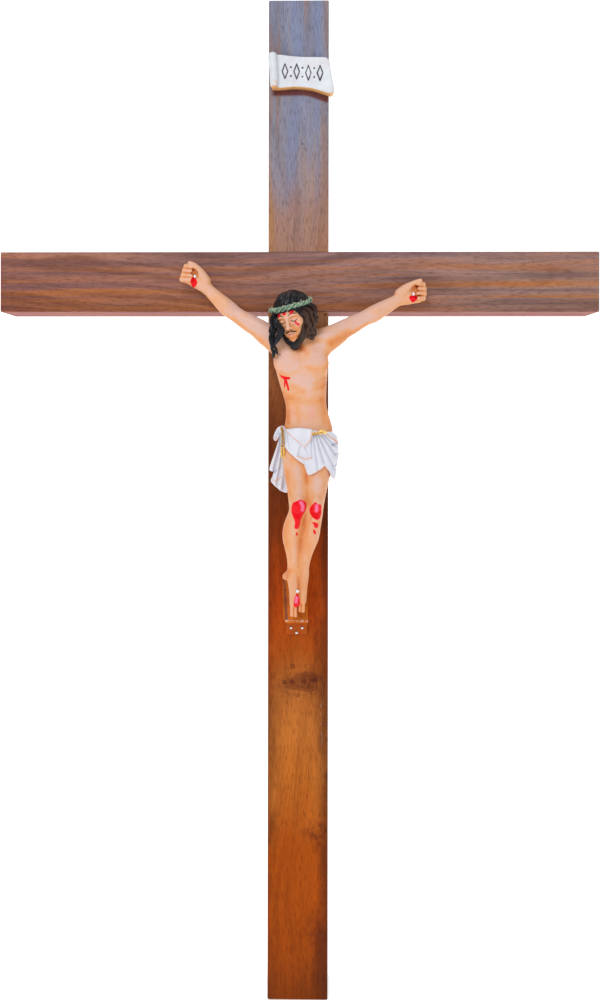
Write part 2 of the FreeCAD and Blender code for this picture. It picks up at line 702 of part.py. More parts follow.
def corpus_body():
    play = size["hole_play"]
    solid = limb(TORSO).fuse([limb(NECK), limb(RIGHT_LEG), limb(LEFT_LEG), limb(CLOTH),
                              limb(DRAPE), head_shape()])
    tools = [behind_face(), parts["footrest"].Shape, crown_shape(play)]
    for plane_x, side in ((size["shoulder_right"], -1), (size["shoulder_left"], 1)):
        low = size["armpit_height"] - 1
        corner = V(plane_x - (60 if side < 0 else 0), -60, low)
        tools.append(Part.makeBox(60, 60, SHOULDER_TOP - low, corner))
    for middle, way in ((RIGHT_SHOULDER, RIGHT_PEG), (LEFT_SHOULDER, LEFT_PEG)):
        tools.append(rod(middle, way, size["dowel_radius"] + play, size["dowel_length"] + 1))
    tools.append(rod(V(size["foot_nail_x"], -45, size["foot_nail_height"]), V(0, 1, 0),
                     size["nail_shank"] + play, 60))
    tools.append(rod(V(size["back_screw_x"], -28.5, size["back_screw_height"]), V(0, 1, 0),
                     size["screw_shank"] + play, 18))
    body = doc.addObject("Part::Feature", "corpus_body")
    body.Shape = largest_solid(solid.cut(tools))
    return keep("corpus_body", body)


def arm(label, stations, plane_x, side, peg_middle, peg_way, nail):
    """One arm casting, hand and all, from the shoulder plane outwards."""
    play = size["hole_play"]
    inside = Part.makeBox(80, 80, 120, V(plane_x if side < 0 else plane_x - 80, -80, 560))
    tools = [
        behind_face(),
        inside,
        parts["corpus_body"].Shape,
        rod(peg_middle, peg_way, size["dowel_radius"] + play, size["dowel_length"] + 1),
        rod(nail, V(0, 1, 0), size["nail_shank"] + play, 60),
        rod(nail - V(0, HAND_NAIL_STAND - size["nail_dome"] + 14.9, 0), V(0, 1, 0),
            size["nail_head"] + play, 30),
    ]
    casting = doc.addObject("Part::Feature", label)
    casting.Shape = largest_solid(limb(stations).cut(tools))
    return keep(label, casting)


def figure():
    corpus_body()
    arm("corpus_right_arm", RIGHT_ARM, size["shoulder_right"], -1, RIGHT_SHOULDER, RIGHT_PEG,
        V(size["right_hand_x"], front, size["right_hand_height"]))
    arm("corpus_left_arm", LEFT_ARM, size["shoulder_left"], 1, LEFT_SHOULDER, LEFT_PEG,
        V(size["left_hand_x"], front, size["left_hand_height"]))
    for label, middle, way in (("right_shoulder_dowel", RIGHT_SHOULDER, RIGHT_PEG),
                               ("left_shoulder_dowel", LEFT_SHOULDER, LEFT_PEG)):
        peg = primitive("Part::Cylinder", label, Radius="<dowel_radius>",
                        Height="<dowel_length>")
        start = middle - V(way).normalize() * (size["dowel_length"] / 2)
        peg.Placement = FreeCAD.Placement(start, FreeCAD.Rotation(V(0, 0, 1), way))
        keep(label, peg)
    crown = primitive("Part::Torus", "crown_of_thorns", Radius1="<crown_radius>",
                      Radius2="<crown_strand>")
    crown.Placement = crown_place()
    keep("crown_of_thorns", crown)


# ---------------------------------------------------------------- build, check and write

upright_beam()
crossbar_beam()
staff_socket()
footrest()
titulus_scroll()
hanger_strap()
hanger_ring()
fasteners()
doc.recompute()
figure()
doc.recompute()

for obj in doc.Objects:
    if {"Invalid", "Error"} & set(obj.State):
        raise RuntimeError(f"{obj.Name} failed: {obj.State}")

os.makedirs("parts", exist_ok=True)
for label, obj in sorted(parts.items()):
    shape = obj.Shape
    if shape.isNull() or not shape.isValid() or not shape.Solids:
        raise RuntimeError(f"{label} has no valid shape")
    shape.exportStep(f"parts/{label}.step")
    print(f"{label:22s} solids {len(shape.Solids)}  volume {shape.Volume:12.1f}")
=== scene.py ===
"""Looks of the wooden crucifix: painted cast figure, oiled walnut beams, scroll, cord and nails.

Everything is modelled in millimetres in the CAD frame (+Z up, the figure faces -Y, its own right
side is at -X) and scaled to metres when a mesh is made. Each sculpted piece starts as a distance
field of smoothly joined balls and limbs, and becomes a mesh that strokes then raise, lower and
paint. Shaders work in metres.
"""

import math

import bpy
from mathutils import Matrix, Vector
import numpy as np


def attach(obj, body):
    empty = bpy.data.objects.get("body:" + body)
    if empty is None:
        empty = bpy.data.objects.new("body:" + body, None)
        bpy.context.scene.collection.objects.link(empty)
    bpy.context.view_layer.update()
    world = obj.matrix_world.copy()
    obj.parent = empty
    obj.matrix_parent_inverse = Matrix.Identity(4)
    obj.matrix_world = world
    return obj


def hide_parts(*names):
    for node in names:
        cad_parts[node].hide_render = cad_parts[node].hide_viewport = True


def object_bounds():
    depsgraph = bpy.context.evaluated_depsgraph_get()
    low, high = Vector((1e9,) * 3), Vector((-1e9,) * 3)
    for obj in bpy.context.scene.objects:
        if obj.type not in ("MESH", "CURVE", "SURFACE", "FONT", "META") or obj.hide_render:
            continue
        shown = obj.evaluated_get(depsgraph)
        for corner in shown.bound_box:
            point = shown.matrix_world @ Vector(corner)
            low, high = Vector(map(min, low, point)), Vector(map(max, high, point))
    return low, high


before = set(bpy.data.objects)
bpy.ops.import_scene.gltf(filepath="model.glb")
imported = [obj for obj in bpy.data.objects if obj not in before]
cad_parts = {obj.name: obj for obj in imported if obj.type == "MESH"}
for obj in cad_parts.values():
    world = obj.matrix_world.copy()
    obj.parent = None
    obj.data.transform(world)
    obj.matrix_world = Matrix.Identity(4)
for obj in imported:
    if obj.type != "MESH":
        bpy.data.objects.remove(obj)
start_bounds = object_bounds()
scene = bpy.context.scene
rng = np.random.default_rng(7)
MM = 0.001
HALF_SPAN, _, HEIGHT = start_bounds[1]     # of the crossbar and of the upright, in metres
FRONT = -20.0                              # the beams' front face, in millimetres


# ---------------------------------------------------------------- distance fields

class Field:
    """A signed distance field on a grid, built up by smooth unions of shapes near its surface."""

    FAR = 6.0         # the value away from every shape
    MARGIN = 1.5      # how far round a shape and its blend the grid is worked on

    def __init__(self, low, high, step):
        self.step = step
        self.low = np.array(low, dtype=np.float64)
        self.size = [int(math.ceil((h - l) / step)) + 1 for l, h in zip(low, high)]
        self.value = np.full(self.size, self.FAR, dtype=np.float32)

    def window(self, low, high):
        """The grid cells of a box and their x, y and z, or nothing where it misses the grid."""
        cells = []
        coords = []
        for a in range(3):
            i = max(0, int(math.floor((low[a] - self.low[a]) / self.step)))
            j = min(self.size[a], int(math.ceil((high[a] - self.low[a]) / self.step)) + 1)
            if j <= i:
                return None, None
            cells.append(slice(i, j))
            shape = [1, 1, 1]
            shape[a] = j - i
            line = self.low[a] + self.step * np.arange(i, j)
            coords.append(line.astype(np.float32).reshape(shape))
        return tuple(cells), coords

    def add(self, low, high, shape, k=1.5, sign=1):
        """Smooth union with a shape, given as a function of x, y, z, inside its box."""
        reach = k + self.MARGIN
        cells, coords = self.window([v - reach for v in low], [v + reach for v in high])
        if cells:
            self.value[cells] = sign * smooth_min(sign * self.value[cells], shape(*coords), k)

    def ball(self, centre, radii, turn=None, k=1.5, sign=1):
        reach = max(radii)
        self.add([c - reach for c in centre], [c + reach for c in centre],
                 ball(centre, radii, turn), k, sign)

    def dent(self, centre, radii, turn=None, k=0.8):
        self.ball(centre, radii, turn, k, -1)

    def clear_of_wood(self, gap, k):
        """Cuts the shape off flat, a small gap in front of the beams."""
        high = self.low + self.step * np.array(self.size)
        self.add(self.low, high, lambda x, y, z: FRONT - gap - y + 0 * (x + z), k, -1)

    def limb(self, points, radii, deep=1.0, k=1.5, fine=4):
        """A smooth round limb through the points; deep stretches it along Y."""
        rows = np.column_stack([points, np.broadcast_to(radii, len(points))]).astype(float)
        rows = curve(rows, fine * (len(rows) - 1) + 1)
        blend = k + self.MARGIN
        reach = rows[:, 3:] * max(1.0, deep) + blend + 2 * self.step
        low, high = (rows[:, :3] - reach).min(axis=0), (rows[:, :3] + reach).max(axis=0)
        whole, _ = self.window(low, high)
        if whole is None:
            return
        part = np.full([w.stop - w.start for w in whole], self.FAR, dtype=np.float32)
        for a, b in zip(rows[:-1], rows[1:]):
            r = max(a[3], b[3]) * max(1.0, deep) + blend
            cells, coords = self.window(np.minimum(a, b)[:3] - r, np.maximum(a, b)[:3] + r)
            if cells is None or any(c.start < w.start or c.stop > w.stop
                                    for c, w in zip(cells, whole)):
                continue
            local = tuple(slice(c.start - w.start, c.stop - w.start) for c, w in zip(cells, whole))
            d = cone(a[:3], b[:3], a[3], b[3], deep)(*coords)
            part[local] = np.minimum(part[local], d)
        self.value[whole] = smooth_min(self.value[whole], part, k)

    def sample(self, points):
        """Trilinear values at points."""
        g = (points - self.low) / self.step
        i = np.clip(np.floor(g).astype(np.int64), 0, np.array(self.size) - 2)
        f = (g - i).astype(np.float32)
        total = 0
        for dx in (0, 1):
            for dy in (0, 1):
                for dz in (0, 1):
                    w = (f[:, 0] if dx else 1 - f[:, 0])
                    w = w * (f[:, 1] if dy else 1 - f[:, 1])
                    w = w * (f[:, 2] if dz else 1 - f[:, 2])
                    total = total + w * self.value[i[:, 0] + dx, i[:, 1] + dy, i[:, 2] + dz]
        return total

    def slope(self, points, reach):
        """Unit directions in which the distance grows."""
        out = np.empty(points.shape)
        for a in range(3):
            shift = np.zeros(3)
            shift[a] = reach
            out[:, a] = self.sample(points + shift) - self.sample(points - shift)
        length = np.linalg.norm(out, axis=1, keepdims=True)
        return out / np.maximum(length, 1e-9)

    def surface(self):
        """Vertices, faces and outward directions of the zero surface, by surface nets."""
        v = self.value
        inside = v < 0
        corners = [(dx, dy, dz) for dx in (0, 1) for dy in (0, 1) for dz in (0, 1)]
        nx, ny, nz = [n - 1 for n in self.size]
        count = np.zeros((nx, ny, nz), dtype=np.int8)
        for dx, dy, dz in corners:
            count += inside[dx:dx + nx, dy:dy + ny, dz:dz + nz]
        active = (count > 0) & (count < 8)
        cell = np.argwhere(active)
        number = np.full((nx, ny, nz), -1, dtype=np.int32)
        number[active] = np.arange(len(cell))
        # each vertex is the mean of the crossings on its cell's twelve edges
        place = np.zeros((len(cell), 3))
        hits = np.zeros(len(cell))
        for a in range(3):
            for start in corners:
                if start[a]:
                    continue
                end = list(start)
                end[a] = 1
                va = v[tuple((cell + start).T)]
                vb = v[tuple((cell + end).T)]
                crosses = (va < 0) != (vb < 0)
                t = np.where(crosses, va / np.where(crosses, va - vb, 1), 0)
                point = np.array(start)[None, :] + t[:, None] * (np.array(end) - np.array(start))
                place += point * crosses[:, None]
                hits += crosses
        verts = self.low + (cell + place / hits[:, None]) * self.step
        # a quad round every grid edge that the surface crosses
        faces = []
        for a in range(3):
            b, c = (a + 1) % 3, (a + 2) % 3
            low = [slice(1, n) for n in (nx, ny, nz)]
            low[a] = slice(0, (nx, ny, nz)[a])
            high = list(low)
            high[a] = slice(1, (nx, ny, nz)[a] + 1)
            s0, s1 = inside[tuple(low)], inside[tuple(high)]
            for flips, mask in ((False, s0 & ~s1), (True, ~s0 & s1)):
                at = np.argwhere(mask)
                at[:, b] += 1
                at[:, c] += 1
                ring = []
                for db, dc in ((-1, -1), (0, -1), (0, 0), (-1, 0)):
                    q = at.copy()
                    q[:, b] += db
                    q[:, c] += dc
                    ring.append(number[tuple(q.T)])
                faces.append(np.stack(ring[::-1] if flips else ring, axis=1))
        faces = np.concatenate(faces)
        faces = faces[(faces >= 0).all(axis=1)]
        for _ in range(2):
            n = self.slope(verts, self.step)
            d = np.clip(self.sample(verts), -self.step, self.step)
            verts = verts - n * d[:, None] * 0.8
        return verts, faces, self.slope(verts, self.step * 1.5)


def smooth_min(a, b, k):
    h = np.clip(0.5 + 0.5 * (b - a) / k, 0, 1)
    return (b + (a - b) * h - k * h * (1 - h)).astype(np.float32)


def axes_of(turn):
    """Rotation matrix from degrees about X, then Y, then Z."""
    rx, ry, rz = [math.radians(v) for v in turn]
    cx, sx, cy, sy, cz, sz = (math.cos(rx), math.sin(rx), math.cos(ry), math.sin(ry),
                              math.cos(rz), math.sin(rz))
    mx = np.array([[1, 0, 0], [0, cx, -sx], [0, sx, cx]])
    my = np.array([[cy, 0, sy], [0, 1, 0], [-sy, 0, cy]])
    mz = np.array([[cz, -sz, 0], [sz, cz, 0], [0, 0, 1]])
    return mz @ my @ mx


def ball(centre, radii, turn=None):
    """Distance to an ellipsoid, turned by degrees or by a rotation matrix."""
    m = turn if isinstance(turn, np.ndarray) else axes_of(turn or (0, 0, 0))
    m = m.astype(np.float32)
    r = [np.float32(v) for v in radii]

    def shape(x, y, z):
        px, py, pz = x - np.float32(centre[0]), y - np.float32(centre[1]), z - np.float32(centre[2])
        q = [m[0, i] * px + m[1, i] * py + m[2, i] * pz for i in range(3)]
        k0 = np.sqrt(sum((q[i] / r[i]) ** 2 for i in range(3)))
        k1 = np.sqrt(sum((q[i] / (r[i] * r[i])) ** 2 for i in range(3)))
        return k0 * (k0 - 1) / np.maximum(k1, 1e-5)

    return shape


def cone(a, b, ra, rb, deep=1.0):
    """Distance to a round-ended cone from a to b, stretched along Y."""
    a = np.array(a, dtype=np.float32)
    b = np.array(b, dtype=np.float32)
    d = b - a
    d[1] /= deep
    length2 = float(d @ d) + 1e-9

    def shape(x, y, z):
        px, py, pz = x - a[0], (y - a[1]) / np.float32(deep), z - a[2]
        t = np.clip((px * d[0] + py * d[1] + pz * d[2]) / np.float32(length2), 0, 1)
        gap = np.sqrt((px - t * d[0]) ** 2 + (py - t * d[1]) ** 2 + (pz - t * d[2]) ** 2)
        return gap - (np.float32(ra) + t * np.float32(rb - ra))

    return shape


def plate(flat, off, rounding):
    """Distance to a plate with rounded edges, from those to its outline and to its two faces."""
    flat, off = flat + rounding, off + rounding
    outside = np.sqrt(np.maximum(flat, 0) ** 2 + np.maximum(off, 0) ** 2)
    return (outside + np.minimum(np.maximum(flat, off), 0) - rounding).astype(np.float32)


# ---------------------------------------------------------------- lines and outlines

def curve(points, count=24):
    """A smooth line through control points (Catmull-Rom)."""
    p = np.array(points, dtype=float)
    if len(p) == 2:
        return p[0] + (p[1] - p[0]) * np.linspace(0, 1, count)[:, None]
    p = np.vstack([2 * p[0] - p[1], p, 2 * p[-1] - p[-2]])
    spans = len(p) - 3
    t = np.linspace(0, spans, count)
    i = np.minimum(t.astype(int), spans - 1)
    f = (t - i)[:, None]
    p0, p1, p2, p3 = p[i], p[i + 1], p[i + 2], p[i + 3]
    return 0.5 * (2 * p1 + (p2 - p0) * f + (2 * p0 - 5 * p1 + 4 * p2 - p3) * f ** 2
                  + (3 * p1 - p0 - 3 * p2 + p3) * f ** 3)


def closed(corners, fine):
    """A smooth closed outline through its corners."""
    return curve(corners + corners[:1], fine * len(corners) + 1)[:-1]


def line_gap(verts, points):
    """Distance from vertices to a polyline, and how far along it the nearest point is (0 to 1)."""
    best = np.full(len(verts), 1e9)
    along = np.zeros(len(verts))
    spans = len(points) - 1
    for i in range(spans):
        a, b = points[i], points[i + 1]
        d = b - a
        t = np.clip(((verts - a) @ d) / (d @ d + 1e-12), 0, 1)
        gap = np.linalg.norm(verts - a - t[:, None] * d, axis=1)
        near = gap < best
        best = np.where(near, gap, best)
        along = np.where(near, (i + t) / spans, along)
    return best, along


def width_at(along, width):
    """One width, or a list of them spread evenly along a line, read at places along it."""
    return np.interp(along, np.linspace(0, 1, len(width)), width) if np.ndim(width) else width


def outline_gap(x, z, corners):
    """Signed distance in the X-Z plane to a closed outline, negative inside."""
    p = np.array(corners, dtype=float)
    best = np.full(np.broadcast(x, z).shape, 1e9)
    inside = np.zeros(best.shape, dtype=bool)
    for a, b in zip(p, np.roll(p, -1, axis=0)):
        d = b - a
        t = np.clip(((x - a[0]) * d[0] + (z - a[1]) * d[1]) / (d @ d + 1e-12), 0, 1)
        gap = (x - a[0] - t * d[0]) ** 2 + (z - a[1] - t * d[1]) ** 2
        best = np.minimum(best, gap)
        crosses = (a[1] > z) != (b[1] > z)
        edge = a[0] + (z - a[1]) * d[0] / (d[1] if abs(d[1]) > 1e-9 else 1e-9)
        inside ^= crosses & (x < edge)
    return np.where(inside, -1, 1) * np.sqrt(best)


def grid_outline_gap(x, z, corners):
    """outline_gap for the x and z of a field's window, the same at every y."""
    return outline_gap(x[:, 0, :], z[0, :, :], corners)[:, None, :]


# ---------------------------------------------------------------- work on a mesh

class Sculpt:
    """A mesh being worked on: strokes raise or lower its skin and lay paint on it."""

    def __init__(self, field):
        self.field = field
        self.v, self.f, self.n = field.surface()
        self.lift = np.zeros(len(self.v))
        self.paint = {}

    def facing(self):
        """1 where the skin faces the viewer, 0 where it faces away."""
        return np.clip(0.5 - 2.0 * self.n[:, 1], 0, 1)

    def profile(self, line, width):
        """A bump of 1 on a line falling to 0 over a width, tapering to the line's ends.

        A line of (x, z) points is laid on the skin that faces the viewer, and one of (x, y, z)
        points stays in its place.
        """
        p = curve(line)
        flat = p.shape[1] == 2
        v = self.v[:, [0, 2]] if flat else self.v
        reach = 3 * np.max(width)
        near = ((v > p.min(axis=0) - reach) & (v < p.max(axis=0) + reach)).all(axis=1)
        out = np.zeros(len(v))
        if near.any():
            gap, along = line_gap(v[near], p)
            out[near] = np.exp(-(gap / width_at(along, width)) ** 2)
        return out * self.facing() if flat else out

    def stroke(self, line, width, height, shade=0.0):
        bump = self.profile(line, width)
        self.lift += height * bump
        if shade:
            self.dab("shade", shade * bump)

    def dab(self, name, amount):
        self.paint[name] = self.paint.get(name, 0) + amount

    def settle(self):
        """Moves the skin by what the strokes asked for."""
        self.v = self.v + self.n * self.lift[:, None]
        self.lift[:] = 0

    def cavity(self, reach):
        """0 on open skin, rising towards 1 in creases, from the field a little way off the skin."""
        out = np.zeros(len(self.v))
        for part in (0.6, 1.0):
            away = self.field.sample(self.v + self.n * (reach * part)) / (reach * part)
            out += 0.5 * np.clip(1 - away, 0, 1)
        return out

    def hollows(self, reach=3):
        """How much the skin is hollow (+) or ridged (-) around each vertex, smoothed."""
        count = len(self.v)
        edges = np.concatenate([self.f[:, [i, (i + 1) % 4]] for i in range(4)])
        degree = np.maximum(np.bincount(edges.ravel(), minlength=count), 1)

        def mean(q):
            out = np.zeros_like(q)
            for a in range(q.shape[1]):
                out[:, a] = (np.bincount(edges[:, 0], q[edges[:, 1], a], count)
                             + np.bincount(edges[:, 1], q[edges[:, 0], a], count))
            return out / degree[:, None]

        q = self.v
        for _ in range(reach):
            q = mean(q)
        hollow = ((q - self.v) * self.n).sum(axis=1)[:, None]
        for _ in range(3):
            hollow = mean(hollow)
        return hollow[:, 0]

    def build(self, name, material):
        """The Blender object, with its paint as attributes for the shader to read."""
        me = bpy.data.meshes.new(name)
        me.from_pydata([tuple(v) for v in self.v * MM], [],
                       [tuple(int(i) for i in f) for f in self.f])
        me.polygons.foreach_set("use_smooth", [True] * len(me.polygons))
        me.update()
        ob = bpy.data.objects.new(name, me)
        scene.collection.objects.link(ob)
        me.materials.append(material)
        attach(ob, "cross")
        for key, amount in self.paint.items():
            layer = me.attributes.new(key, "FLOAT", "POINT")
            layer.data.foreach_set("value", np.asarray(amount, dtype=np.float32))
        return ob


# ---------------------------------------------------------------- materials

def linear(red, green, blue):
    """An sRGB colour of 0 to 255 as linear values."""
    out = []
    for v in (red, green, blue):
        v = v / 255
        out.append(v / 12.92 if v <= 0.04045 else ((v + 0.055) / 1.055) ** 2.4)
    return tuple(out)


class Nodes:
    """Short names for the shader nodes of one material."""

    def __init__(self, name, rough=0.5, metal=0.0, coat=0.0, coat_rough=0.1, shine=0.5):
        self.material = bpy.data.materials.new(name)
        self.material.use_nodes = True
        self.tree = self.material.node_tree
        self.shader = self.tree.nodes["Principled BSDF"]
        self.set("Roughness", rough)
        self.set("Metallic", metal)
        self.set("Coat Weight", coat)
        self.set("Coat Roughness", coat_rough)
        self.set("Specular IOR Level", shine)

    def fill(self, socket, value):
        if isinstance(value, bpy.types.NodeSocket):
            self.tree.links.new(value, socket)
        elif isinstance(value, tuple) and socket.type == "RGBA":
            socket.default_value = (*value, 1)
        else:
            socket.default_value = value

    def set(self, name, value):
        self.fill(self.shader.inputs[name], value)

    def node(self, kind, inputs, **props):
        n = self.tree.nodes.new(kind)
        for key, value in props.items():
            setattr(n, key, value)
        for key, value in inputs.items():
            self.fill(n.inputs[key], value)
        return n

    def attr(self, name):
        return self.node("ShaderNodeAttribute", {}, attribute_name=name).outputs["Fac"]

    def place(self, scale=(1, 1, 1), shift=(0, 0, 0)):
        """Object coordinates in metres, scaled and shifted."""
        coords = self.node("ShaderNodeTexCoord", {}).outputs["Object"]
        return self.node("ShaderNodeMapping", {"Vector": coords, "Scale": scale,
                                               "Location": shift}).outputs["Vector"]

    def noise(self, vector, scale, detail=2.0, rough=0.5, distort=0.0):
        return self.node("ShaderNodeTexNoise", {
            "Vector": vector, "Scale": scale, "Detail": detail, "Roughness": rough,
            "Distortion": distort}).outputs["Fac"]

    def range(self, value, a, b, low=0.0, high=1.0, smooth=True):
        """Takes a to low and b to high, with an S-shaped run between them where it is smooth."""
        return self.node("ShaderNodeMapRange", {
            "Value": value, "From Min": a, "From Max": b, "To Min": low, "To Max": high},
            interpolation_type="SMOOTHSTEP" if smooth else "LINEAR").outputs["Result"]

    def math(self, operation, a, b=0.0):
        return self.node("ShaderNodeMath", {0: a, 1: b}, operation=operation).outputs[0]

    def times(self, first, *others):
        for other in others:
            first = self.math("MULTIPLY", first, other)
        return first

    def plus(self, a, b):
        return self.math("ADD", a, b)

    def minus(self, a, b):
        return self.math("SUBTRACT", a, b)

    def mix(self, factor, a, b, how="MIX"):
        return self.node("ShaderNodeMixRGB", {"Fac": factor, "Color1": a, "Color2": b},
                         blend_type=how).outputs["Color"]

    def ramp(self, value, stops):
        """A colour by value, from stops given as a place and an sRGB colour."""
        n = self.node("ShaderNodeValToRGB", {"Fac": value})
        cells = n.color_ramp.elements
        while len(cells) < len(stops):
            cells.new(0.5)
        for cell, (at, colour) in zip(cells, stops):
            cell.position = at
            cell.color = (*linear(*colour), 1)
        return n.outputs["Color"]

    def part(self, vector, name):
        return self.node("ShaderNodeSeparateXYZ", {"Vector": vector}).outputs[name]

    def axis(self, name):
        return self.part(self.node("ShaderNodeTexCoord", {}).outputs["Object"], name)

    def upward(self):
        """How far the surface faces up: 1 for a top, -1 for an underside."""
        return self.part(self.node("ShaderNodeNewGeometry", {}).outputs["Normal"], "Z")

    def away(self, x, z, at_x, at_z):
        """Distance across the front from a point, in metres."""
        return self.math("SQRT", self.plus(self.math("POWER", self.minus(x, at_x), 2.0),
                                           self.math("POWER", self.minus(z, at_z), 2.0)))

    def bump(self, height, depth, strength):
        n = self.node("ShaderNodeBump", {"Height": height, "Strength": strength,
                                         "Distance": depth})
        self.set("Normal", n.outputs["Normal"])


def plain(name, colour, rough, metal=0.0, coat=0.0):
    n = Nodes(name, rough, metal, coat)
    n.set("Base Color", linear(*colour))
    return n


def skin_material():
    n = Nodes("skin_paint", 0.36, coat=0.08, coat_rough=0.15, shine=0.14)
    fine = n.noise(n.place(), 260.0, 3.0, 0.55)
    broad = n.noise(n.place(), 60.0, 2.0, 0.5)
    # the shade attribute turns the skin orange and brown: airbrush, and painted shade in creases,
    # on sides and undersides
    shade = n.plus(n.attr("shade"), n.range(broad, 0.35, 0.75, -0.06, 0.10))
    colour = n.ramp(shade, [(0.0, (217, 174, 158)), (0.18, (222, 163, 122)),
                            (0.45, (222, 146, 86)), (0.8, (206, 108, 46)), (1.0, (140, 66, 30))])
    colour = n.mix(n.range(fine, 0.3, 0.7, 0.0, 0.10), colour, linear(236, 196, 176))
    # rosy paint on cheeks and lips, and painted highlights on the skin and the blood
    colour = n.mix(n.range(n.attr("rose_and_highlight"), 0.0, 1.0, 0.0, 0.8), colour, linear(232, 150, 140))
    colour = n.mix(n.range(n.attr("ink"), 0.25, 0.75), colour, linear(58, 34, 26))
    wet = n.range(n.attr("blood"), -0.16, 0.16)
    red = n.mix(n.range(broad, 0.4, 0.7), linear(226, 0, 10), linear(232, 2, 26))
    # painted highlights on the blood: pinker where it faces up and on the marked shines
    red = n.mix(n.range(n.upward(), 0.25, 0.8, 0.0, 0.28), red, linear(248, 110, 150))
    red = n.mix(n.range(n.attr("rose_and_highlight"), 0.2, 0.9, 0.0, 0.75), red, linear(248, 140, 186))
    n.set("Base Color", n.mix(wet, colour, red))
    n.set("Roughness", n.range(wet, 0.0, 1.0, 0.36, 0.14))
    n.bump(fine, 0.00012, 0.5)
    return n.material


def cloth_material():
    n = Nodes("cloth_paint", 0.48, coat=0.1, coat_rough=0.25)
    broad = n.noise(n.place(), 90.0, 2.0, 0.5)
    # the shade attribute turns the white lavender grey: painted shade
    shade = n.plus(n.attr("shade"), n.range(broad, 0.4, 0.8, 0.0, 0.2))
    colour = n.mix(n.range(shade, 0.0, 1.0), linear(216, 217, 225), linear(178, 178, 201))
    peach = n.plus(n.attr("peach"), n.range(broad, 0.4, 0.8, -0.08, 0.12))
    n.set("Base Color", n.mix(n.range(peach, 0.25, 0.95), colour, linear(222, 160, 126)))
    n.bump(n.noise(n.place(), 420.0, 3.0, 0.6), 0.0001, 0.5)
    return n.material


def hair_material():
    n = Nodes("hair_paint", 0.24, coat=0.10, coat_rough=0.08, shine=0.22)
    fine = n.noise(n.place(), 180.0, 3.0, 0.6)
    colour = n.mix(n.range(fine, 0.4, 0.75), linear(5, 5, 8), linear(24, 26, 36))
    # brown paint, and painted highlights on the ridges of the locks
    colour = n.mix(n.range(n.attr("brown"), 0.0, 1.0, 0.0, 0.85), colour, linear(72, 46, 30))
    n.set("Base Color", colour)
    n.bump(fine, 0.0003, 0.4)
    return n.material


def crown_material():
    n = Nodes("crown_paint", 0.42, coat=0.15)
    fine = n.noise(n.place(), 330.0, 3.0, 0.6)
    # painted highlight and shade: cream on ridges and tops, dark green in hollows
    ridge = n.plus(n.attr("ridge"), n.range(fine, 0.3, 0.7, -0.25, 0.25))
    n.set("Base Color", n.ramp(ridge, [(0.0, (46, 62, 44)), (0.35, (84, 118, 92)),
                                       (0.72, (118, 144, 120)), (1.0, (186, 180, 150))]))
    n.bump(fine, 0.0003, 0.5)
    return n.material


def gold_material():
    n = Nodes("gold_paint", 0.34, metal=0.35, coat=0.2)
    fine = n.noise(n.place(), 500.0, 2.0, 0.6)
    # the shade attribute: duller paint on the tails and cord, and painted shade in hollows
    shade = n.plus(n.attr("shade"), n.range(fine, 0.3, 0.7, -0.15, 0.15))
    n.set("Base Color", n.ramp(shade, [(0.0, (244, 206, 120)), (0.4, (214, 160, 70)),
                                       (1.0, (96, 58, 24))]))
    return n.material


def scroll_material():
    n = Nodes("scroll_paint", 0.45, coat=0.1)
    broad = n.noise(n.place(), 70.0, 3.0, 0.55)
    fine = n.noise(n.place(), 380.0, 3.0, 0.6)
    colour = n.mix(n.range(broad, 0.35, 0.75), linear(204, 209, 215), linear(200, 195, 199))
    # warm ochre painted shade on undersides and hollows
    ochre_shade = n.plus(n.attr("ochre_shade"), n.range(fine, 0.3, 0.8, -0.12, 0.16))
    colour = n.mix(n.range(ochre_shade, 0.3, 0.95), colour, linear(222, 164, 100))
    ink = n.plus(n.attr("ink"), n.range(fine, 0.3, 0.7, -0.12, 0.12))
    dark = n.mix(n.range(broad, 0.42, 0.58), linear(34, 34, 44), linear(70, 62, 72))
    n.set("Base Color", n.mix(n.range(ink, 0.4, 0.62), colour, dark))
    n.bump(fine, 0.0002, 0.5)
    return n.material


def footrest_material():
    tab_top, tab_shaded = 0.3495, 0.3488
    n = Nodes("footrest_paint", 0.42, coat=0.04, shine=0.1)
    broad = n.noise(n.place(), 110.0, 3.0, 0.6)
    fine = n.noise(n.place((1, 1, 0.3)), 600.0, 3.0, 0.65)
    patchy = n.noise(n.place(), 240.0, 4.0, 0.7)
    colour = n.mix(n.range(broad, 0.35, 0.7), linear(204, 106, 26), linear(166, 76, 16))
    # the tab under the slope's front is painted darker: painted shade
    colour = n.mix(n.range(n.axis("Z"), tab_top, tab_shaded, 0.0, 0.65), colour,
                   linear(168, 70, 8))
    colour = n.mix(n.range(n.attr("dark"), 0.0, 1.0), colour, linear(92, 52, 44))
    pale_marks = n.plus(n.attr("pale_marks"), n.range(patchy, 0.35, 0.65, -0.4, 0.2))
    n.set("Base Color", n.mix(n.range(pale_marks, 0.25, 0.7, 0.0, 0.72), colour, linear(218, 186, 166)))
    n.bump(n.plus(fine, n.times(broad, 2.0)), 0.0005, 0.6)
    return n.material


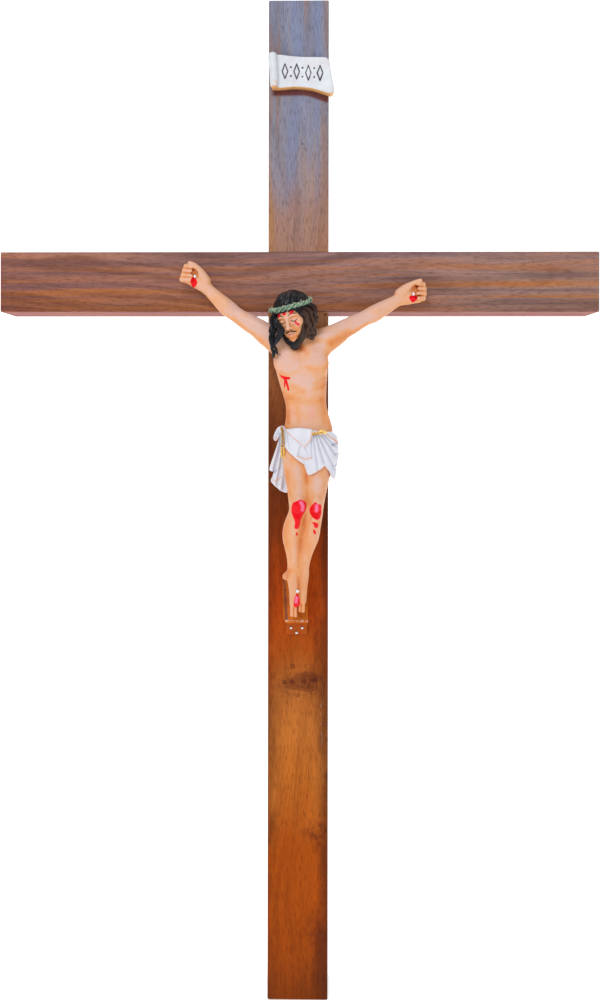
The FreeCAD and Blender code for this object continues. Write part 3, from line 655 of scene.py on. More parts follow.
def walnut(name, along, tint):
    """Oiled walnut: along is the grain's axis ("X" or "Z"), tint paints its colour by place."""
    n = Nodes(name, 0.5, shine=0.06)
    short = 22.0      # how much finer the grain is across than along
    sway = 2.2        # how far the grain wanders sideways

    def stretched(times, wide=1.0):
        across = short * wide
        if along == "X":
            scale, shift = (1.0, across, across), (3.1, 0.4, 0.7)
        else:
            scale, shift = (across, across, 1.0), (0.2, 0.6, 5.3)
        return n.place(tuple(v * times for v in scale), tuple(v * times for v in shift))

    wander = n.times(n.noise(stretched(3.0, 0.12), 1.0, 2.0, 0.5), sway)
    sideways = n.node("ShaderNodeCombineXYZ", {"Z" if along == "X" else "X": wander}).outputs[0]
    grain = n.node("ShaderNodeVectorMath", {0: stretched(1.0), 1: sideways},
                   operation="ADD").outputs[0]
    streak = n.noise(grain, 5.0, 6.0, 0.66, 0.15)
    bands = n.noise(grain, 1.3, 3.0, 0.5, 0.5)
    rings = n.math("ABSOLUTE", n.math("SINE", n.times(bands, 40.0)))
    pores = n.noise(stretched(20.0, 0.36), 6.0, 2.0, 0.6)
    curl = n.noise(stretched(6.0, 0.35), 3.0, 4.0, 0.62, 0.6)
    base, wild = tint(n)
    dark = n.mix(1.0, base, (0.40, 0.33, 0.31), "MULTIPLY")
    light = n.mix(1.0, base, (1.25, 1.20, 1.12), "MULTIPLY")
    colour = n.mix(n.times(n.range(streak, 0.60, 0.36), wild), base, dark)
    colour = n.mix(n.times(n.range(bands, 0.48, 0.66, 0.0, 0.8), wild), colour, light)
    colour = n.mix(n.times(n.range(rings, 0.0, 0.3, 0.5, 0.0), wild), colour, dark)
    colour = n.mix(n.range(curl, 0.40, 0.70, 0.0, 0.30), colour, light)
    colour = n.mix(n.range(curl, 0.45, 0.25, 0.0, 0.30), colour, dark)
    colour = n.mix(n.range(pores, 0.50, 0.66, 0.0, 0.5), colour, dark)
    n.set("Base Color", colour)
    n.bump(n.minus(n.times(streak, 0.4), n.range(pores, 0.5, 0.68)), 0.0001, 0.5)
    return n.material


UPRIGHT_STOPS = [  # height in metres and colour; the grey-blue above the crossing is a painted reflection on the wood
    (0.00, (150, 66, 8)), (0.05, (158, 70, 8)), (0.12, (168, 76, 10)), (0.18, (186, 102, 34)),
    (0.21, (190, 110, 44)), (0.25, (172, 98, 42)), (0.30, (166, 78, 20)), (0.35, (180, 76, 12)),
    (0.40, (176, 70, 10)), (0.44, (144, 60, 14)), (0.50, (126, 62, 27)), (0.54, (148, 86, 48)),
    (0.58, (154, 98, 60)), (0.62, (156, 108, 70)), (0.69, (160, 112, 84)),
    (0.72, (156, 118, 104)), (0.745, (146, 124, 124)), (0.78, (134, 130, 142)),
    (0.84, (132, 132, 147)), (0.91, (124, 127, 147))]
DARK_PATCHES = [  # x, height, half width, half height, strength
    (0.020, 0.152, 0.018, 0.020, 0.75), (0.026, 0.204, 0.004, 0.008, 0.7),
    (-0.022, 0.225, 0.010, 0.030, 0.25), (0.017, 0.060, 0.016, 0.030, 0.5),
    (0.016, 0.345, 0.012, 0.030, 0.3)]
SPECKS = [(0.0034, 0.7824, 0.0007), (0.0245, 0.6265, 0.0009)]     # x, height, radius
KNOT = (0.0045, 0.2905)
KNOT_EYES = [  # x, height, radius, strength
    (-0.0041, 0.3052, 0.0024, 0.7), (-0.0122, 0.2906, 0.0021, 0.6),
    (-0.0056, 0.2908, 0.0027, 0.7), (0.0054, 0.2912, 0.0024, 0.85),
    (0.0118, 0.2924, 0.0020, 0.6), (0.0151, 0.2928, 0.0022, 0.95),
    (-0.0008, 0.2784, 0.0020, 0.5), (-0.0030, 0.2846, 0.0012, 0.6)]
SCROLL_FOOT = 0.8315     # where the plaque's lower edge stands over the upright


def upright_tint(n):
    x = n.axis("X")
    z = n.axis("Z")
    broad = n.noise(n.place((10, 10, 3.2)), 1.6, 3.0, 0.55)
    height = n.plus(z, n.range(broad, 0.3, 0.7, -0.035, 0.035))
    colour = n.ramp(n.range(height, 0.0, HEIGHT, smooth=False),
                    [(at / HEIGHT, rgb) for at, rgb in UPRIGHT_STOPS])
    low = n.range(z, 0.64, 0.50)
    high = n.range(z, 0.66, 0.72)
    face = n.range(n.axis("Y"), -0.0185, -0.0198)
    # cold and warm veins in the grey-blue painted reflection at the top, golden streaks just above
    # the crossing
    veins = n.noise(n.place((120, 120, 5)), 1.0, 3.0, 0.6)
    cold = n.times(n.range(veins, 0.50, 0.62, 0.0, 0.45), n.range(z, 0.70, 0.78))
    colour = n.mix(cold, colour, linear(116, 129, 167))
    warm = n.times(n.range(veins, 0.47, 0.36, 0.0, 0.5), high)
    colour = n.mix(warm, colour, linear(146, 112, 96))
    gold = n.range(n.noise(n.place((60, 60, 4.0)), 1.0, 2.0, 0.5), 0.50, 0.62)
    gold = n.times(gold, n.times(high, n.range(z, 0.80, 0.70)), 0.45)
    colour = n.mix(gold, colour, linear(186, 132, 62))
    # clouds and mottled dark patches below the crossing
    cloud = n.noise(n.place((34, 34, 12)), 1.0, 3.0, 0.55)
    colour = n.mix(n.times(n.range(cloud, 0.52, 0.74, 0.0, 0.32), low), colour,
                   linear(84, 34, 12))
    mottle = n.noise(n.place((260, 260, 190)), 1.0, 2.0, 0.6)
    for at_x, at_z, wide, tall, amount in DARK_PATCHES:
        gap = n.plus(n.math("ABSOLUTE", n.math("DIVIDE", n.minus(x, at_x), wide)),
                     n.math("ABSOLUTE", n.math("DIVIDE", n.minus(z, at_z), tall)))
        spot = n.times(n.range(gap, 1.3, 0.2), n.range(mottle, 0.35, 0.65, 0.25, 1.0), amount)
        colour = n.mix(spot, colour, linear(92, 34, 14))
    # a pale scratch and two specks
    weave = n.range(n.noise(n.place((1, 1, 60)), 1.0, 2.0, 0.6), 0.3, 0.7, -0.0012, 0.0012)
    scratch = n.math("ABSOLUTE", n.plus(n.minus(x, 0.0212), weave))
    scratch = n.times(n.range(scratch, 0.0005, 0.0001), n.range(mottle, 0.46, 0.52),
                      n.times(n.range(z, 0.230, 0.236), n.range(z, 0.274, 0.268)))
    colour = n.mix(n.times(scratch, n.times(face, 0.7)), colour, linear(220, 190, 170))
    for at_x, at_z, size in SPECKS:
        speck = n.range(n.away(x, z, at_x, at_z), 1.2 * size, 0.8 * size)
        colour = n.mix(n.times(speck, face), colour, linear(30, 16, 14))
    # a dark lens-shaped knot low on the shaft, with small eyes in it and rings round it
    across = n.minus(x, KNOT[0])
    dx = n.times(across, 52.0)
    dz = n.times(n.minus(n.minus(z, KNOT[1]), n.times(across, 0.12)), 105.0)
    far = n.math("SQRT", n.plus(n.times(dx, dx), n.times(dz, dz)))
    rough = n.noise(n.place((1, 1, 2.4)), 60.0, 3.0, 0.6)
    far = n.plus(far, n.range(rough, 0.2, 0.8, -0.34, 0.34))
    colour = n.mix(n.range(far, 0.5, 1.35, 0.64, 0.0), colour, linear(98, 44, 24))
    soft = n.range(mottle, 0.3, 0.7, -0.0007, 0.0007)
    for at_x, at_z, size, amount in KNOT_EYES:
        gap = n.plus(n.away(x, z, at_x, at_z), soft)
        hollow = n.range(gap, 0.2 * size, 0.7 * size, 0.55, 1.0)
        eye = n.times(n.range(gap, 1.1 * size, 0.6 * size, 0.0, amount), hollow, face)
        colour = n.mix(eye, colour, linear(84, 30, 22))
    # a painted shadow under the plaque's lower edge
    rim = n.minus(SCROLL_FOOT, n.times(n.range(x, 0.004, 0.030), 0.0065))
    drop = n.minus(z, rim)
    under = n.times(n.range(drop, -0.0065, -0.0035), n.range(drop, 0.006, 0.001))
    under = n.times(under, n.times(n.range(x, -0.0265, -0.0215), face), 0.85)
    colour = n.mix(under, colour, linear(104, 42, 20))
    loop = n.math("ABSOLUTE", n.math("SINE", n.times(far, 7.5)))
    ringed = n.times(n.range(loop, 0.8, 0.1), n.range(far, 2.6, 0.5, 0.0, 0.30))
    colour = n.mix(ringed, colour, linear(84, 36, 18))
    # dark ragged edges and foot
    ragged = n.range(n.noise(n.place((20, 20, 9)), 1.0, 3.0, 0.6), 0.3, 0.7, -0.004, 0.006)
    right = n.range(n.plus(x, ragged), 0.015, 0.0275, 0.0, 0.62)
    left = n.range(n.minus(x, ragged), -0.020, -0.0285, 0.0, 0.42)
    colour = n.mix(n.times(n.plus(right, left), low), colour, linear(66, 30, 18))
    foot = n.range(z, 0.05, 0.0, 0.0, 0.30)
    return n.mix(foot, colour, linear(74, 36, 16)), 0.32


CROSSBAR_STOPS = [  # x in metres and colour
    (-0.274, (140, 88, 72)), (-0.15, (162, 108, 86)), (-0.03, (160, 114, 100)),
    (0.05, (162, 121, 109)), (0.16, (152, 122, 112)), (0.274, (148, 114, 100))]


def crossbar_tint(n):
    x = n.axis("X")
    z = n.axis("Z")
    broad = n.noise(n.place((2.5, 9, 16)), 1.4, 3.0, 0.6)
    place = n.plus(x, n.range(broad, 0.3, 0.7, -0.03, 0.03))
    colour = n.ramp(n.range(place, -HALF_SPAN, HALF_SPAN, smooth=False),
                    [((at + HALF_SPAN) / (2 * HALF_SPAN), rgb) for at, rgb in CROSSBAR_STOPS])
    amber = n.noise(n.place((3.6, 80, 150)), 1.0, 5.0, 0.65)
    colour = n.mix(n.range(amber, 0.46, 0.64, 0.0, 0.72), colour, linear(178, 108, 52))
    colour = n.mix(n.range(amber, 0.50, 0.36, 0.0, 0.55), colour, linear(104, 80, 88))
    colour = n.mix(n.range(z, 0.655, 0.684, 0.0, 0.45), colour, linear(146, 116, 116))
    colour = n.mix(n.range(z, 0.652, 0.632, 0.0, 0.30), colour, linear(104, 60, 46))
    # the underside is painted paler: painted light from below
    pale = n.range(n.upward(), -0.5, -0.9, 0.0, 0.9)
    return n.mix(pale, colour, linear(168, 98, 88)), 0.62


SKIN = skin_material()
CLOTH = cloth_material()
HAIR = hair_material()
CROWN = crown_material()
GOLD = gold_material()
SCROLL = scroll_material()
FOOTREST = footrest_material()
UPRIGHT = walnut("walnut_upright", "Z", upright_tint)
CROSSBAR = walnut("walnut_crossbar", "X", crossbar_tint)
STEEL = plain("bright_steel", (226, 228, 232), 0.22, 1.0).material
BRASS = plain("lacquered_brass", (212, 176, 106), 0.3, 1.0, 0.2).material


# ---------------------------------------------------------------- the figure's body

TORSO = curve([
    # z, centre x, centre y, half width, front depth, back depth
    (494, 9.0, -41.0, 17.0, 13.0, 12.0),
    (505, 9.0, -41.0, 19.5, 15.0, 13.5),
    (514, 9.0, -41.0, 21.0, 15.0, 14.0),
    (522, 9.2, -40.5, 21.6, 14.0, 14.5),
    (530, 8.8, -40.0, 20.0, 13.0, 13.5),
    (537, 7.9, -40.0, 18.6, 12.6, 12.0),
    (544, 7.1, -40.5, 18.2, 12.6, 11.5),
    (552, 6.0, -41.0, 19.1, 13.6, 12.0),
    (562, 4.6, -42.0, 20.8, 15.0, 13.5),
    (574, 3.4, -42.5, 22.8, 15.6, 15.0),
    (584, 2.6, -42.5, 24.2, 15.2, 15.5),
    (592, 2.0, -42.0, 24.4, 13.8, 14.5),
    (599, 2.0, -41.5, 22.0, 11.6, 12.5),
    (604, 2.2, -41.5, 16.5, 9.6, 10.5),
    (608, 2.2, -42.0, 9.0, 7.5, 8.5),
    (611, 2.2, -42.0, 4.0, 4.0, 4.0),
], 90)
SQUARENESS = np.float32(2.25)     # 2 is an ellipse, more is squarer


def torso(x, y, z):
    row = lambda c: np.interp(z, TORSO[:, 0], TORSO[:, c]).astype(np.float32)
    wide = row(3)
    off = y - row(2)
    deep = np.where(off < 0, row(4), row(5))
    u = np.abs((x - row(1)) / wide) ** SQUARENESS + np.abs(off / deep) ** SQUARENESS
    side = np.maximum(TORSO[0, 0] - z, z - TORSO[-1, 0])
    return np.maximum((u ** (1 / SQUARENESS) - 1) * np.minimum(wide, deep) * np.float32(0.92), side)


RIGHT_ARM = [(-12, -41, 596), (-23, -40, 603.4), (-33, -37.8, 610.6), (-44, -35.4, 617.3),
             (-54.3, -33.2, 624), (-64, -31.6, 631.6), (-74, -30.2, 640.8), (-84, -29, 650.6)]
LEFT_ARM = [(16, -41, 595.5), (27.5, -40, 602.8), (37.5, -37.8, 609.4), (48, -35.4, 615.3),
            (59.5, -33.2, 621.6), (69.5, -31.6, 626.8), (80.5, -30.2, 633.2), (91.5, -29, 639.6)]
ARM_RADII = [10.0, 10.3, 8.9, 8.0, 6.9, 7.4, 6.2, 4.9]


def arm(f, line, side, hand):
    f.limb(line, ARM_RADII, 0.96, 4.0)
    # the shoulder's round muscle and the elbow
    f.ball(np.array(line[1]) + (side * 3.0, 0.4, 2.6), (8.4, 8.2, 7.4), (0, -side * 32, 0), 3.0)
    f.ball(np.array(line[5]) + (-side * 1.0, -0.6, -1.4), (9.4, 6.4, 5.6), (0, -side * 36, 0), 2.6)
    fist(f, hand)


def fist(f, hand):
    f.limb(hand["palm"], [5.4, 7.2, 7.6], 0.7, 2.5)
    f.limb(hand["heel"], [4.6, 4.2], 0.9, 2.2)
    for root, knuckle, tip in hand["fingers"]:
        f.limb([root, knuckle], [2.5, 2.45], 1.0, 1.6)
        f.limb([knuckle, tip], [2.4, 2.1], 1.0, 0.7)
    f.limb(hand["thumb"], [4.8, 4.2, 3.3, 2.5, 2.0], 1.0, 1.6)
    f.dent(hand["hollow"], (3.0, 2.2, 3.6), hand["hollow_turn"], 1.6)


def hand_of(fingers, **parts):
    """A hand's points; fingers hold the x and z of each knuckle and tip."""
    columns = []
    for kx, kz, tx, tz in fingers:
        inward = -3.5 if kx > 0 else 3.5
        columns.append(((kx + inward, -25.6, kz), (kx, -29.6, kz), (tx, -33.0, tz)))
    return dict(fingers=columns, **parts)


RIGHT_HAND = hand_of(
    [(-101.4, 668.9, -96.6, 667.8), (-102.8, 665.0, -95.9, 664.0),
     (-104.0, 661.0, -96.3, 660.0), (-105.0, 657.2, -97.2, 656.4)],
    palm=[(-84, -28.6, 650.6), (-89.5, -27.4, 655.4), (-95.5, -26.4, 661.2)],
    heel=[(-93.5, -27.0, 655.0), (-100.6, -27.0, 658.2)],
    thumb=[(-83.6, -29.5, 655.6), (-87.4, -30.8, 661.6), (-90.6, -31.6, 666.0),
           (-94.4, -32.4, 669.6), (-97.6, -33.0, 671.2)],
    hollow=(-93.0, -32.6, 662.6), hollow_turn=(0, -38, 0))
LEFT_HAND = hand_of(
    [(112.4, 652.4, 107.9, 652.2), (113.2, 648.4, 107.4, 648.3),
     (113.4, 644.3, 107.6, 644.2), (112.6, 640.2, 108.2, 639.5)],
    palm=[(91.5, -28.6, 639.6), (96.5, -27.4, 641.6), (103.5, -26.4, 645.4)],
    heel=[(100.0, -27.0, 639.8), (108.0, -27.0, 640.4)],
    thumb=[(91.5, -29.5, 644.2), (96.6, -30.8, 648.4), (101.0, -31.6, 651.3),
           (105.6, -32.4, 653.8), (109.4, -33.0, 655.4)],
    hollow=(104.6, -32.6, 648.0), hollow_turn=(0, 42, 0))

RIGHT_LEG = [(0.5, -43, 512), (-2.0, -49, 494), (-0.8, -56.5, 474), (0.4, -62.0, 459),
             (-0.6, -62.0, 450), (-4.2, -57.5, 438), (-5.4, -54.0, 428), (-4.4, -49.5, 414),
             (-4.0, -46.5, 402)]
RIGHT_LEG_RADII = [12.5, 11.2, 8.9, 7.9, 7.2, 7.9, 7.7, 5.9, 4.7]
LEFT_LEG = [(17.5, -42, 512), (19.0, -47, 494), (17.4, -54.5, 474), (16.0, -60.0, 459),
            (15.4, -60.0, 450), (12.6, -55.5, 438), (11.0, -51.5, 428), (7.6, -46.0, 414),
            (5.6, -42.5, 402)]
LEFT_LEG_RADII = [13.0, 11.8, 8.9, 7.1, 6.6, 7.6, 7.6, 5.9, 4.6]
LEGS = ((RIGHT_LEG, RIGHT_LEG_RADII), (LEFT_LEG, LEFT_LEG_RADII))
TOES = [  # root, tip and radius; toes that touch share one
    ((-4.9, -47.6, 367.5), (-4.9, -46.6, 358.4), 1.75),
    ((-2.2, -47.4, 367.5), (-1.9, -46.2, 358.0), 1.75),
    ((1.6, -45.8, 369.0), (1.8, -45.6, 362.2), 1.6),
    ((4.7, -44.8, 370.0), (4.6, -44.6, 361.6), 1.85),
]


def legs(f):
    for line, radii in LEGS:
        f.limb(line, radii, 1.08, 1.6)
    # the cast is closed between the legs
    f.limb([(8.4, -52, 497), (8.3, -55, 482), (8.8, -60, 466), (8.2, -60, 452), (5.0, -56, 438),
            (3.0, -52, 426), (1.8, -47.6, 412), (1.0, -45, 398), (0.5, -44.5, 384)],
           [5.0, 4.4, 4.0, 3.8, 3.6, 3.2, 2.8, 2.4, 2.0], 1.3, 4.0)
    # kneecaps, shins and calves
    f.ball((0.6, -68.6, 459.5), (5.2, 3.6, 5.8), None, 3.0)
    f.ball((16.4, -66.2, 459.0), (4.6, 3.4, 5.6), None, 3.0)
    f.ball((-5.6, -49.0, 434.0), (7.4, 7.2, 13.0), (8, 6, 0), 3.0)
    f.ball((11.8, -47.0, 434.0), (7.6, 7.2, 13.0), (8, 14, 0), 3.0)
    f.limb([(-0.4, -68.0, 446), (-3.4, -59.0, 428), (-3.6, -52.0, 408)], [2.4, 2.2, 1.8], 1.0, 3.0)
    f.limb([(15.0, -65.5, 446), (10.2, -56.5, 428), (6.2, -48.0, 408)], [2.4, 2.2, 1.8], 1.0, 3.0)
    # feet
    f.limb([(-4.0, -46.0, 402), (-4.4, -44.8, 392), (-3.0, -46.6, 380), (-2.9, -47.4, 369)],
           [4.7, 5.2, 4.6, 4.2], 0.95, 1.5)
    f.limb([(-5.0, -41.0, 395), (-10.2, -34.6, 390.2)], [4.6, 3.6], 1.0, 2.5)
    f.limb([(5.6, -42.5, 402), (5.0, -41.5, 392), (4.0, -43.4, 380), (3.8, -44.6, 371)],
           [4.6, 4.9, 4.4, 4.0], 0.95, 1.2)
    for root, tip, r in TOES:
        f.limb([root, tip], [r, r * 0.95], 1.15, 0.5)


def body_field(low, high, step):
    """The whole naked figure below the head, evaluated inside one box."""
    f = Field(low, high, step)
    f.add((-28, -62, 492), (36, -22, 612), torso, 0.01)
    legs(f)
    # chest, neck and shoulders
    f.ball((-8.5, -52.0, 580.0), (12.0, 6.2, 9.5), (0, 8, 0), 5.0)
    f.ball((14.5, -52.0, 579.5), (12.0, 6.2, 9.5), (0, -8, 0), 5.0)
    f.limb([(-1.5, -47.5, 617), (2.0, -43.5, 604), (3.0, -42, 596)], [7.4, 7.6, 9.0], 1.0, 4.0)
    f.limb([(3.5, -40.5, 609), (15.0, -40.5, 606), (27.5, -40, 606)], [6.0, 5.5, 6.0], 1.0, 5.0)
    f.limb([(0.0, -40.5, 609), (-10.0, -40.5, 606), (-22.0, -40, 606)], [6.0, 5.5, 6.0], 1.0, 5.0)
    arm(f, RIGHT_ARM, -1, RIGHT_HAND)
    arm(f, LEFT_ARM, 1, LEFT_HAND)
    f.limb([(-10, -50, 588), (-24, -46.5, 598), (-34, -41, 606)], [4.5, 5.0, 4.0], 1.0, 5.0)
    f.limb([(15, -50, 587.5), (28, -46.5, 597), (38, -41, 604.5)], [4.5, 5.0, 4.0], 1.0, 5.0)
    f.clear_of_wood(0.1, 0.8)
    return f


# ---------------------------------------------------------------- paint on the figure

# closed marks of blood in front view, then runs of it with half widths from their top to their end
BLOOD_PATCHES = [
    [(-1, 461.5), (3, 463), (7.5, 459.5), (7, 453.5), (3, 446), (2, 440), (0, 437), (-2.5, 438.5),
     (-2, 444), (-5, 452), (-4, 459.5)],
    [(15.5, 461), (17.5, 459), (20.5, 457.5), (20, 448), (17.5, 445), (13, 447.5), (10.5, 452),
     (11, 456)],
    [(12.5, 443.5), (15, 443), (18, 441.5), (17.5, 438), (15, 438), (14, 440.5)],
    [(-93, 659), (-91, 654), (-93, 650.5), (-95.5, 650.5), (-97, 654), (-95.5, 658.5)],
    [(104.5, 643.5), (107, 640.5), (105.5, 637.5), (102.5, 636.5), (99.5, 640), (101, 642.5),
     (102.5, 642)],
]
BLOOD_RUNS = [
    ([(-0.7, 433.6), (-0.6, 431.8)], (0.7, 0.8, 0.9)),
    ([(14.2, 435.6), (15.2, 432.8)], (0.9, 1.1, 1.0)),
    ([(-0.5, 376.8), (-0.6, 368.6)], (1.3, 2.6, 2.9)),
    ([(-15.5, 569.5), (-12, 567.5), (-7.5, 567)], (0.4, 1.3, 1.1)),
    ([(-11, 567), (-11.5, 560)], (1.0, 0.75, 0.7)),
    ([(-10.5, 566.5), (-8, 557)], (0.9, 1.0, 0.9)),
]


DRY = -4.0      # signed distance to blood where none is near
SHINES = [  # highlights on the wet knees and foot
    [(3.0, 460.5), (4.6, 457.5), (4.4, 454.0)], [(16.6, 457.6), (16.4, 453.0)],
    [(-0.8, 374.5), (-1.4, 371)],
]


def between(one, two):
    """The front-view line midway between two lines."""
    return [((a[0] + b[0]) / 2, (a[-1] + b[-1]) / 2) for a, b in zip(one, two)]


def wet_skin(s, wet, thick):
    """Blood as a signed distance, positive inside, that also stands a little proud."""
    s.paint["blood"] = wet
    s.lift += thick * np.clip(0.5 + wet / 0.8, 0, 1)


def bleed(s):
    flat = s.v[:, [0, 2]]
    wet = np.full(len(flat), DRY)
    front = s.n[:, 1] < 0.25

    def near(p):
        middle = (p.max(axis=0) + p.min(axis=0)) / 2
        return front & (np.abs(flat - middle) < np.ptp(p, axis=0) / 2 + 5).all(axis=1)

    for corners in BLOOD_PATCHES:
        p = closed(corners, 6)
        at = near(p)
        wet[at] = np.maximum(wet[at], -outline_gap(flat[at, 0], flat[at, 1], p))
    for line, half in BLOOD_RUNS:
        p = curve(line, 20)
        at = near(p)
        gap, along = line_gap(flat[at], p)
        wet[at] = np.maximum(wet[at], width_at(along, half) - gap)
    wet_skin(s, wet, 0.28)
    for line in SHINES:
        s.dab("rose_and_highlight", 0.75 * s.profile(line, 2.1))


BODY_STROKES = [  # front-view line, width, height, shade; the shade darkens grooves and lightens ridges, as painted shade and highlight
    # breastbone, collar bones and the hollow between them
    ([(0.2, 596), (1.4, 590), (2.4, 584)], [1.6, 2.2, 1.6], -0.30, 0.06),
    ([(4.0, 600.5), (12, 603.5), (22, 605.5), (30, 607)], [1.2, 1.8, 1.8, 1.0], 0.45, -0.08),
    ([(-2.0, 600.5), (-9, 603), (-18, 604.6), (-26, 606)], [1.2, 1.8, 1.8, 1.0], 0.45, -0.08),
    ([(4.0, 596.4), (10, 598.4), (18, 600.0)], [2.0, 2.2, 1.4], -0.25, 0.16),
    ([(-5.5, 594.5), (-1.5, 592.2), (3.0, 591.8), (7.2, 592.6)], [1.6, 2.4, 2.4, 1.4], -0.35, 0.30),
    ([(0.5, 602), (1.2, 598), (2.4, 594)], [2.4, 2.6, 2.2], -0.6, 0.34),
    # lower borders of the breast
    ([(-17, 571.4), (-12, 569.6), (-6, 570.6), (-1, 573)], [1.4, 2.0, 1.4, 1.0], -0.35, 0.14),
    ([(9, 576.4), (15, 574.6), (21, 575.0), (26, 577.0)], [1.4, 2.0, 2.0, 1.4], -0.40, 0.34),
    # ribs
    ([(24.5, 571.5), (20, 567.6), (14, 565.4)], [1.0, 1.6, 1.0], 0.38, -0.06),
    ([(24.5, 566.5), (20.5, 562.4), (15, 560.0)], [1.0, 1.6, 1.0], 0.38, -0.06),
    ([(24.5, 569.0), (20, 565.0), (14.5, 562.6)], [1.0, 1.4, 1.0], -0.28, 0.14),
    ([(24.5, 563.6), (20.0, 559.6), (14.5, 557.8)], [1.4, 2.0, 1.4], -0.30, 0.30),
    ([(10.4, 562.6), (11.6, 560.4)], 2.2, 0.35, -0.12),
    ([(16.4, 556.4), (18.0, 553.8)], 2.4, 0.35, -0.12),
    ([(-5.0, 560.6), (-0.5, 557.4), (4.6, 555.2)], [1.6, 2.6, 1.8], -0.30, 0.30),
    ([(-3.0, 564.6), (2.0, 562.0)], 2.0, 0.30, -0.06),
    # the waist: a cross band, two upright grooves and the ridge between them
    ([(-7.0, 549.5), (1, 547.4), (10, 546.4), (20, 548.0)], [1.6, 2.4, 2.4, 1.6], -0.25, 0.24),
    ([(-0.6, 544.5), (-0.2, 539), (0.6, 533), (1.0, 527)], [1.2, 1.6, 1.4, 0.8], -0.55, 0.16),
    ([(-4.4, 541.5), (-4.6, 536), (-4.2, 529)], [1.6, 1.9, 1.4], 0.60, -0.14),
    ([(-8.2, 538), (-8.6, 533), (-8.2, 528)], [1.4, 1.8, 1.2], -0.50, 0.22),
    ([(20.8, 550.5), (21.6, 545), (22.4, 538), (23.6, 528)], [1.4, 1.9, 1.8, 1.2], -0.55, 0.20),
    ([(26.0, 540), (27.0, 532), (28.2, 525)], [1.4, 1.8, 1.4], 0.35, -0.06),
    ([(12.0, 541.0), (12.2, 533.0)], 4.4, 0.40, -0.12),
    # arm muscles
    ([(-27, 596), (-36, 603), (-46, 611), (-58, 621)], [2.4, 2.2, 1.8, 1.4], -0.35, 0.30),
    ([(31, 596), (40, 602.5), (50, 609), (62, 616)], [2.4, 2.2, 1.8, 1.4], -0.40, 0.46),
    ([(-33, 607), (-44, 614), (-54, 621)], [1.6, 2.2, 1.6], 0.35, -0.08),
    ([(37, 607), (48, 612.6), (58, 618.6)], [1.6, 2.2, 1.6], 0.35, -0.08),
    # knees, shins and thighs
    ([(-1.8, 463.5), (-3.2, 458), (-2.6, 452.5), (0.6, 450.4), (3.8, 453)], 1.0, -0.4, 0.10),
    ([(12.6, 462.5), (11.6, 457.5), (12.4, 452.5), (15.8, 450.6), (19, 453)], 1.0, -0.4, 0.10),
    ([(-2.6, 444), (-3.6, 432), (-3.4, 418), (-3.0, 405)], [1.0, 1.5, 1.2], 0.35, -0.10),
    ([(-6.6, 444), (-8.4, 434), (-7.6, 422), (-5.6, 410)], [1.2, 1.8, 1.2], -0.30, 0.14),
    ([(13.0, 446), (10.6, 432), (7.4, 418), (5.4, 406)], [1.0, 1.5, 1.2], 0.35, -0.08),
    ([(7.6, 484), (7.8, 474), (8.6, 464)], [1.2, 2.0, 1.4], -0.2, 0.12),
    ([(6.0, 448), (4.2, 438), (2.4, 428), (1.4, 418)], [1.2, 2.0, 1.4], -0.1, 0.12),
    ([(-8.6, 486), (-9.2, 474), (-6.8, 464)], [1.6, 2.6, 1.6], 0.0, 0.30),
    ([(8.2, 492), (8.3, 480), (8.8, 468), (8.6, 458)], [0.9, 1.0, 1.0, 0.8], -0.5, 0.16),
    ([(7.6, 450), (5.4, 438), (3.2, 426), (1.9, 412), (1.2, 400)], [0.9, 1.1, 1.0, 0.9, 0.8],
     -0.5, 0.18),
    ([(-5.0, 496), (-4.0, 484), (-2.4, 472)], [1.6, 2.4, 1.6], -0.2, 0.16),
    # tendons and toes
    ([(-4.6, 392), (-5.4, 380), (-4.9, 369)], [0.8, 0.9, 0.7], 0.35, -0.05),
    ([(-2.4, 392), (-2.0, 380), (-2.0, 369)], [0.8, 0.9, 0.7], 0.30, -0.05),
    ([(-3.6, 388), (-3.7, 378), (-3.5, 368)], [0.7, 0.8, 0.6], -0.25, 0.10),
    ([(3.2, 390), (3.4, 380), (3.6, 370)], [0.7, 0.9, 0.6], 0.3, 0.0),
    ([(0.9, 392), (0.6, 380), (0.4, 366)], [0.8, 0.8, 0.8], -0.3, 0.40),
    ([(-3.5, 366.5), (-3.4, 358)], 0.5, -0.25, 0.4),
    ([(3.2, 369), (3.2, 361.8)], 0.5, -0.25, 0.4),
    ([(-0.1, 367), (0.0, 358)], 0.5, -0.25, 0.5),
]
AIRBRUSH_AND_SHADE = [  # front-view line, amount of shade, width: airbrush and painted shade in hollows, armpits and between the legs
    ([(-21, 594), (-24.5, 586), (-22, 578)], 0.20, 3.0),
    ([(25.5, 593), (28.5, 586), (26.5, 578)], 0.22, 3.0),
    ([(28, 598), (36, 604), (44, 609)], 0.34, 3.2),
    ([(-10, 548), (-11, 540), (-12, 532)], 0.16, 3.0),
    ([(4, 606), (8, 602), (10, 597)], 0.16, 3.4),
    ([(-13, 555), (-9, 552), (-4, 551)], 0.18, 3.0),
    ([(16, 602), (26, 600)], 0.16, 3.0),
    ([(2.5, 594), (5.6, 591.5), (8, 588.5)], 0.34, 2.4),
    ([(5.8, 444), (9.0, 432), (8.2, 420)], 0.24, 3.4),
    ([(-7.0, 398), (-10.0, 392)], 0.34, 2.4),
    ([(22, 488), (23, 476), (21, 466)], 0.20, 3.4),
    ([(-9, 488), (-8, 478), (-6, 468)], 0.18, 3.4),
    ([(-10.5, 444), (-12, 432), (-10.5, 420)], 0.16, 2.6),
    ([(0, 500), (6, 488), (8, 478)], 0.24, 3.4),
]


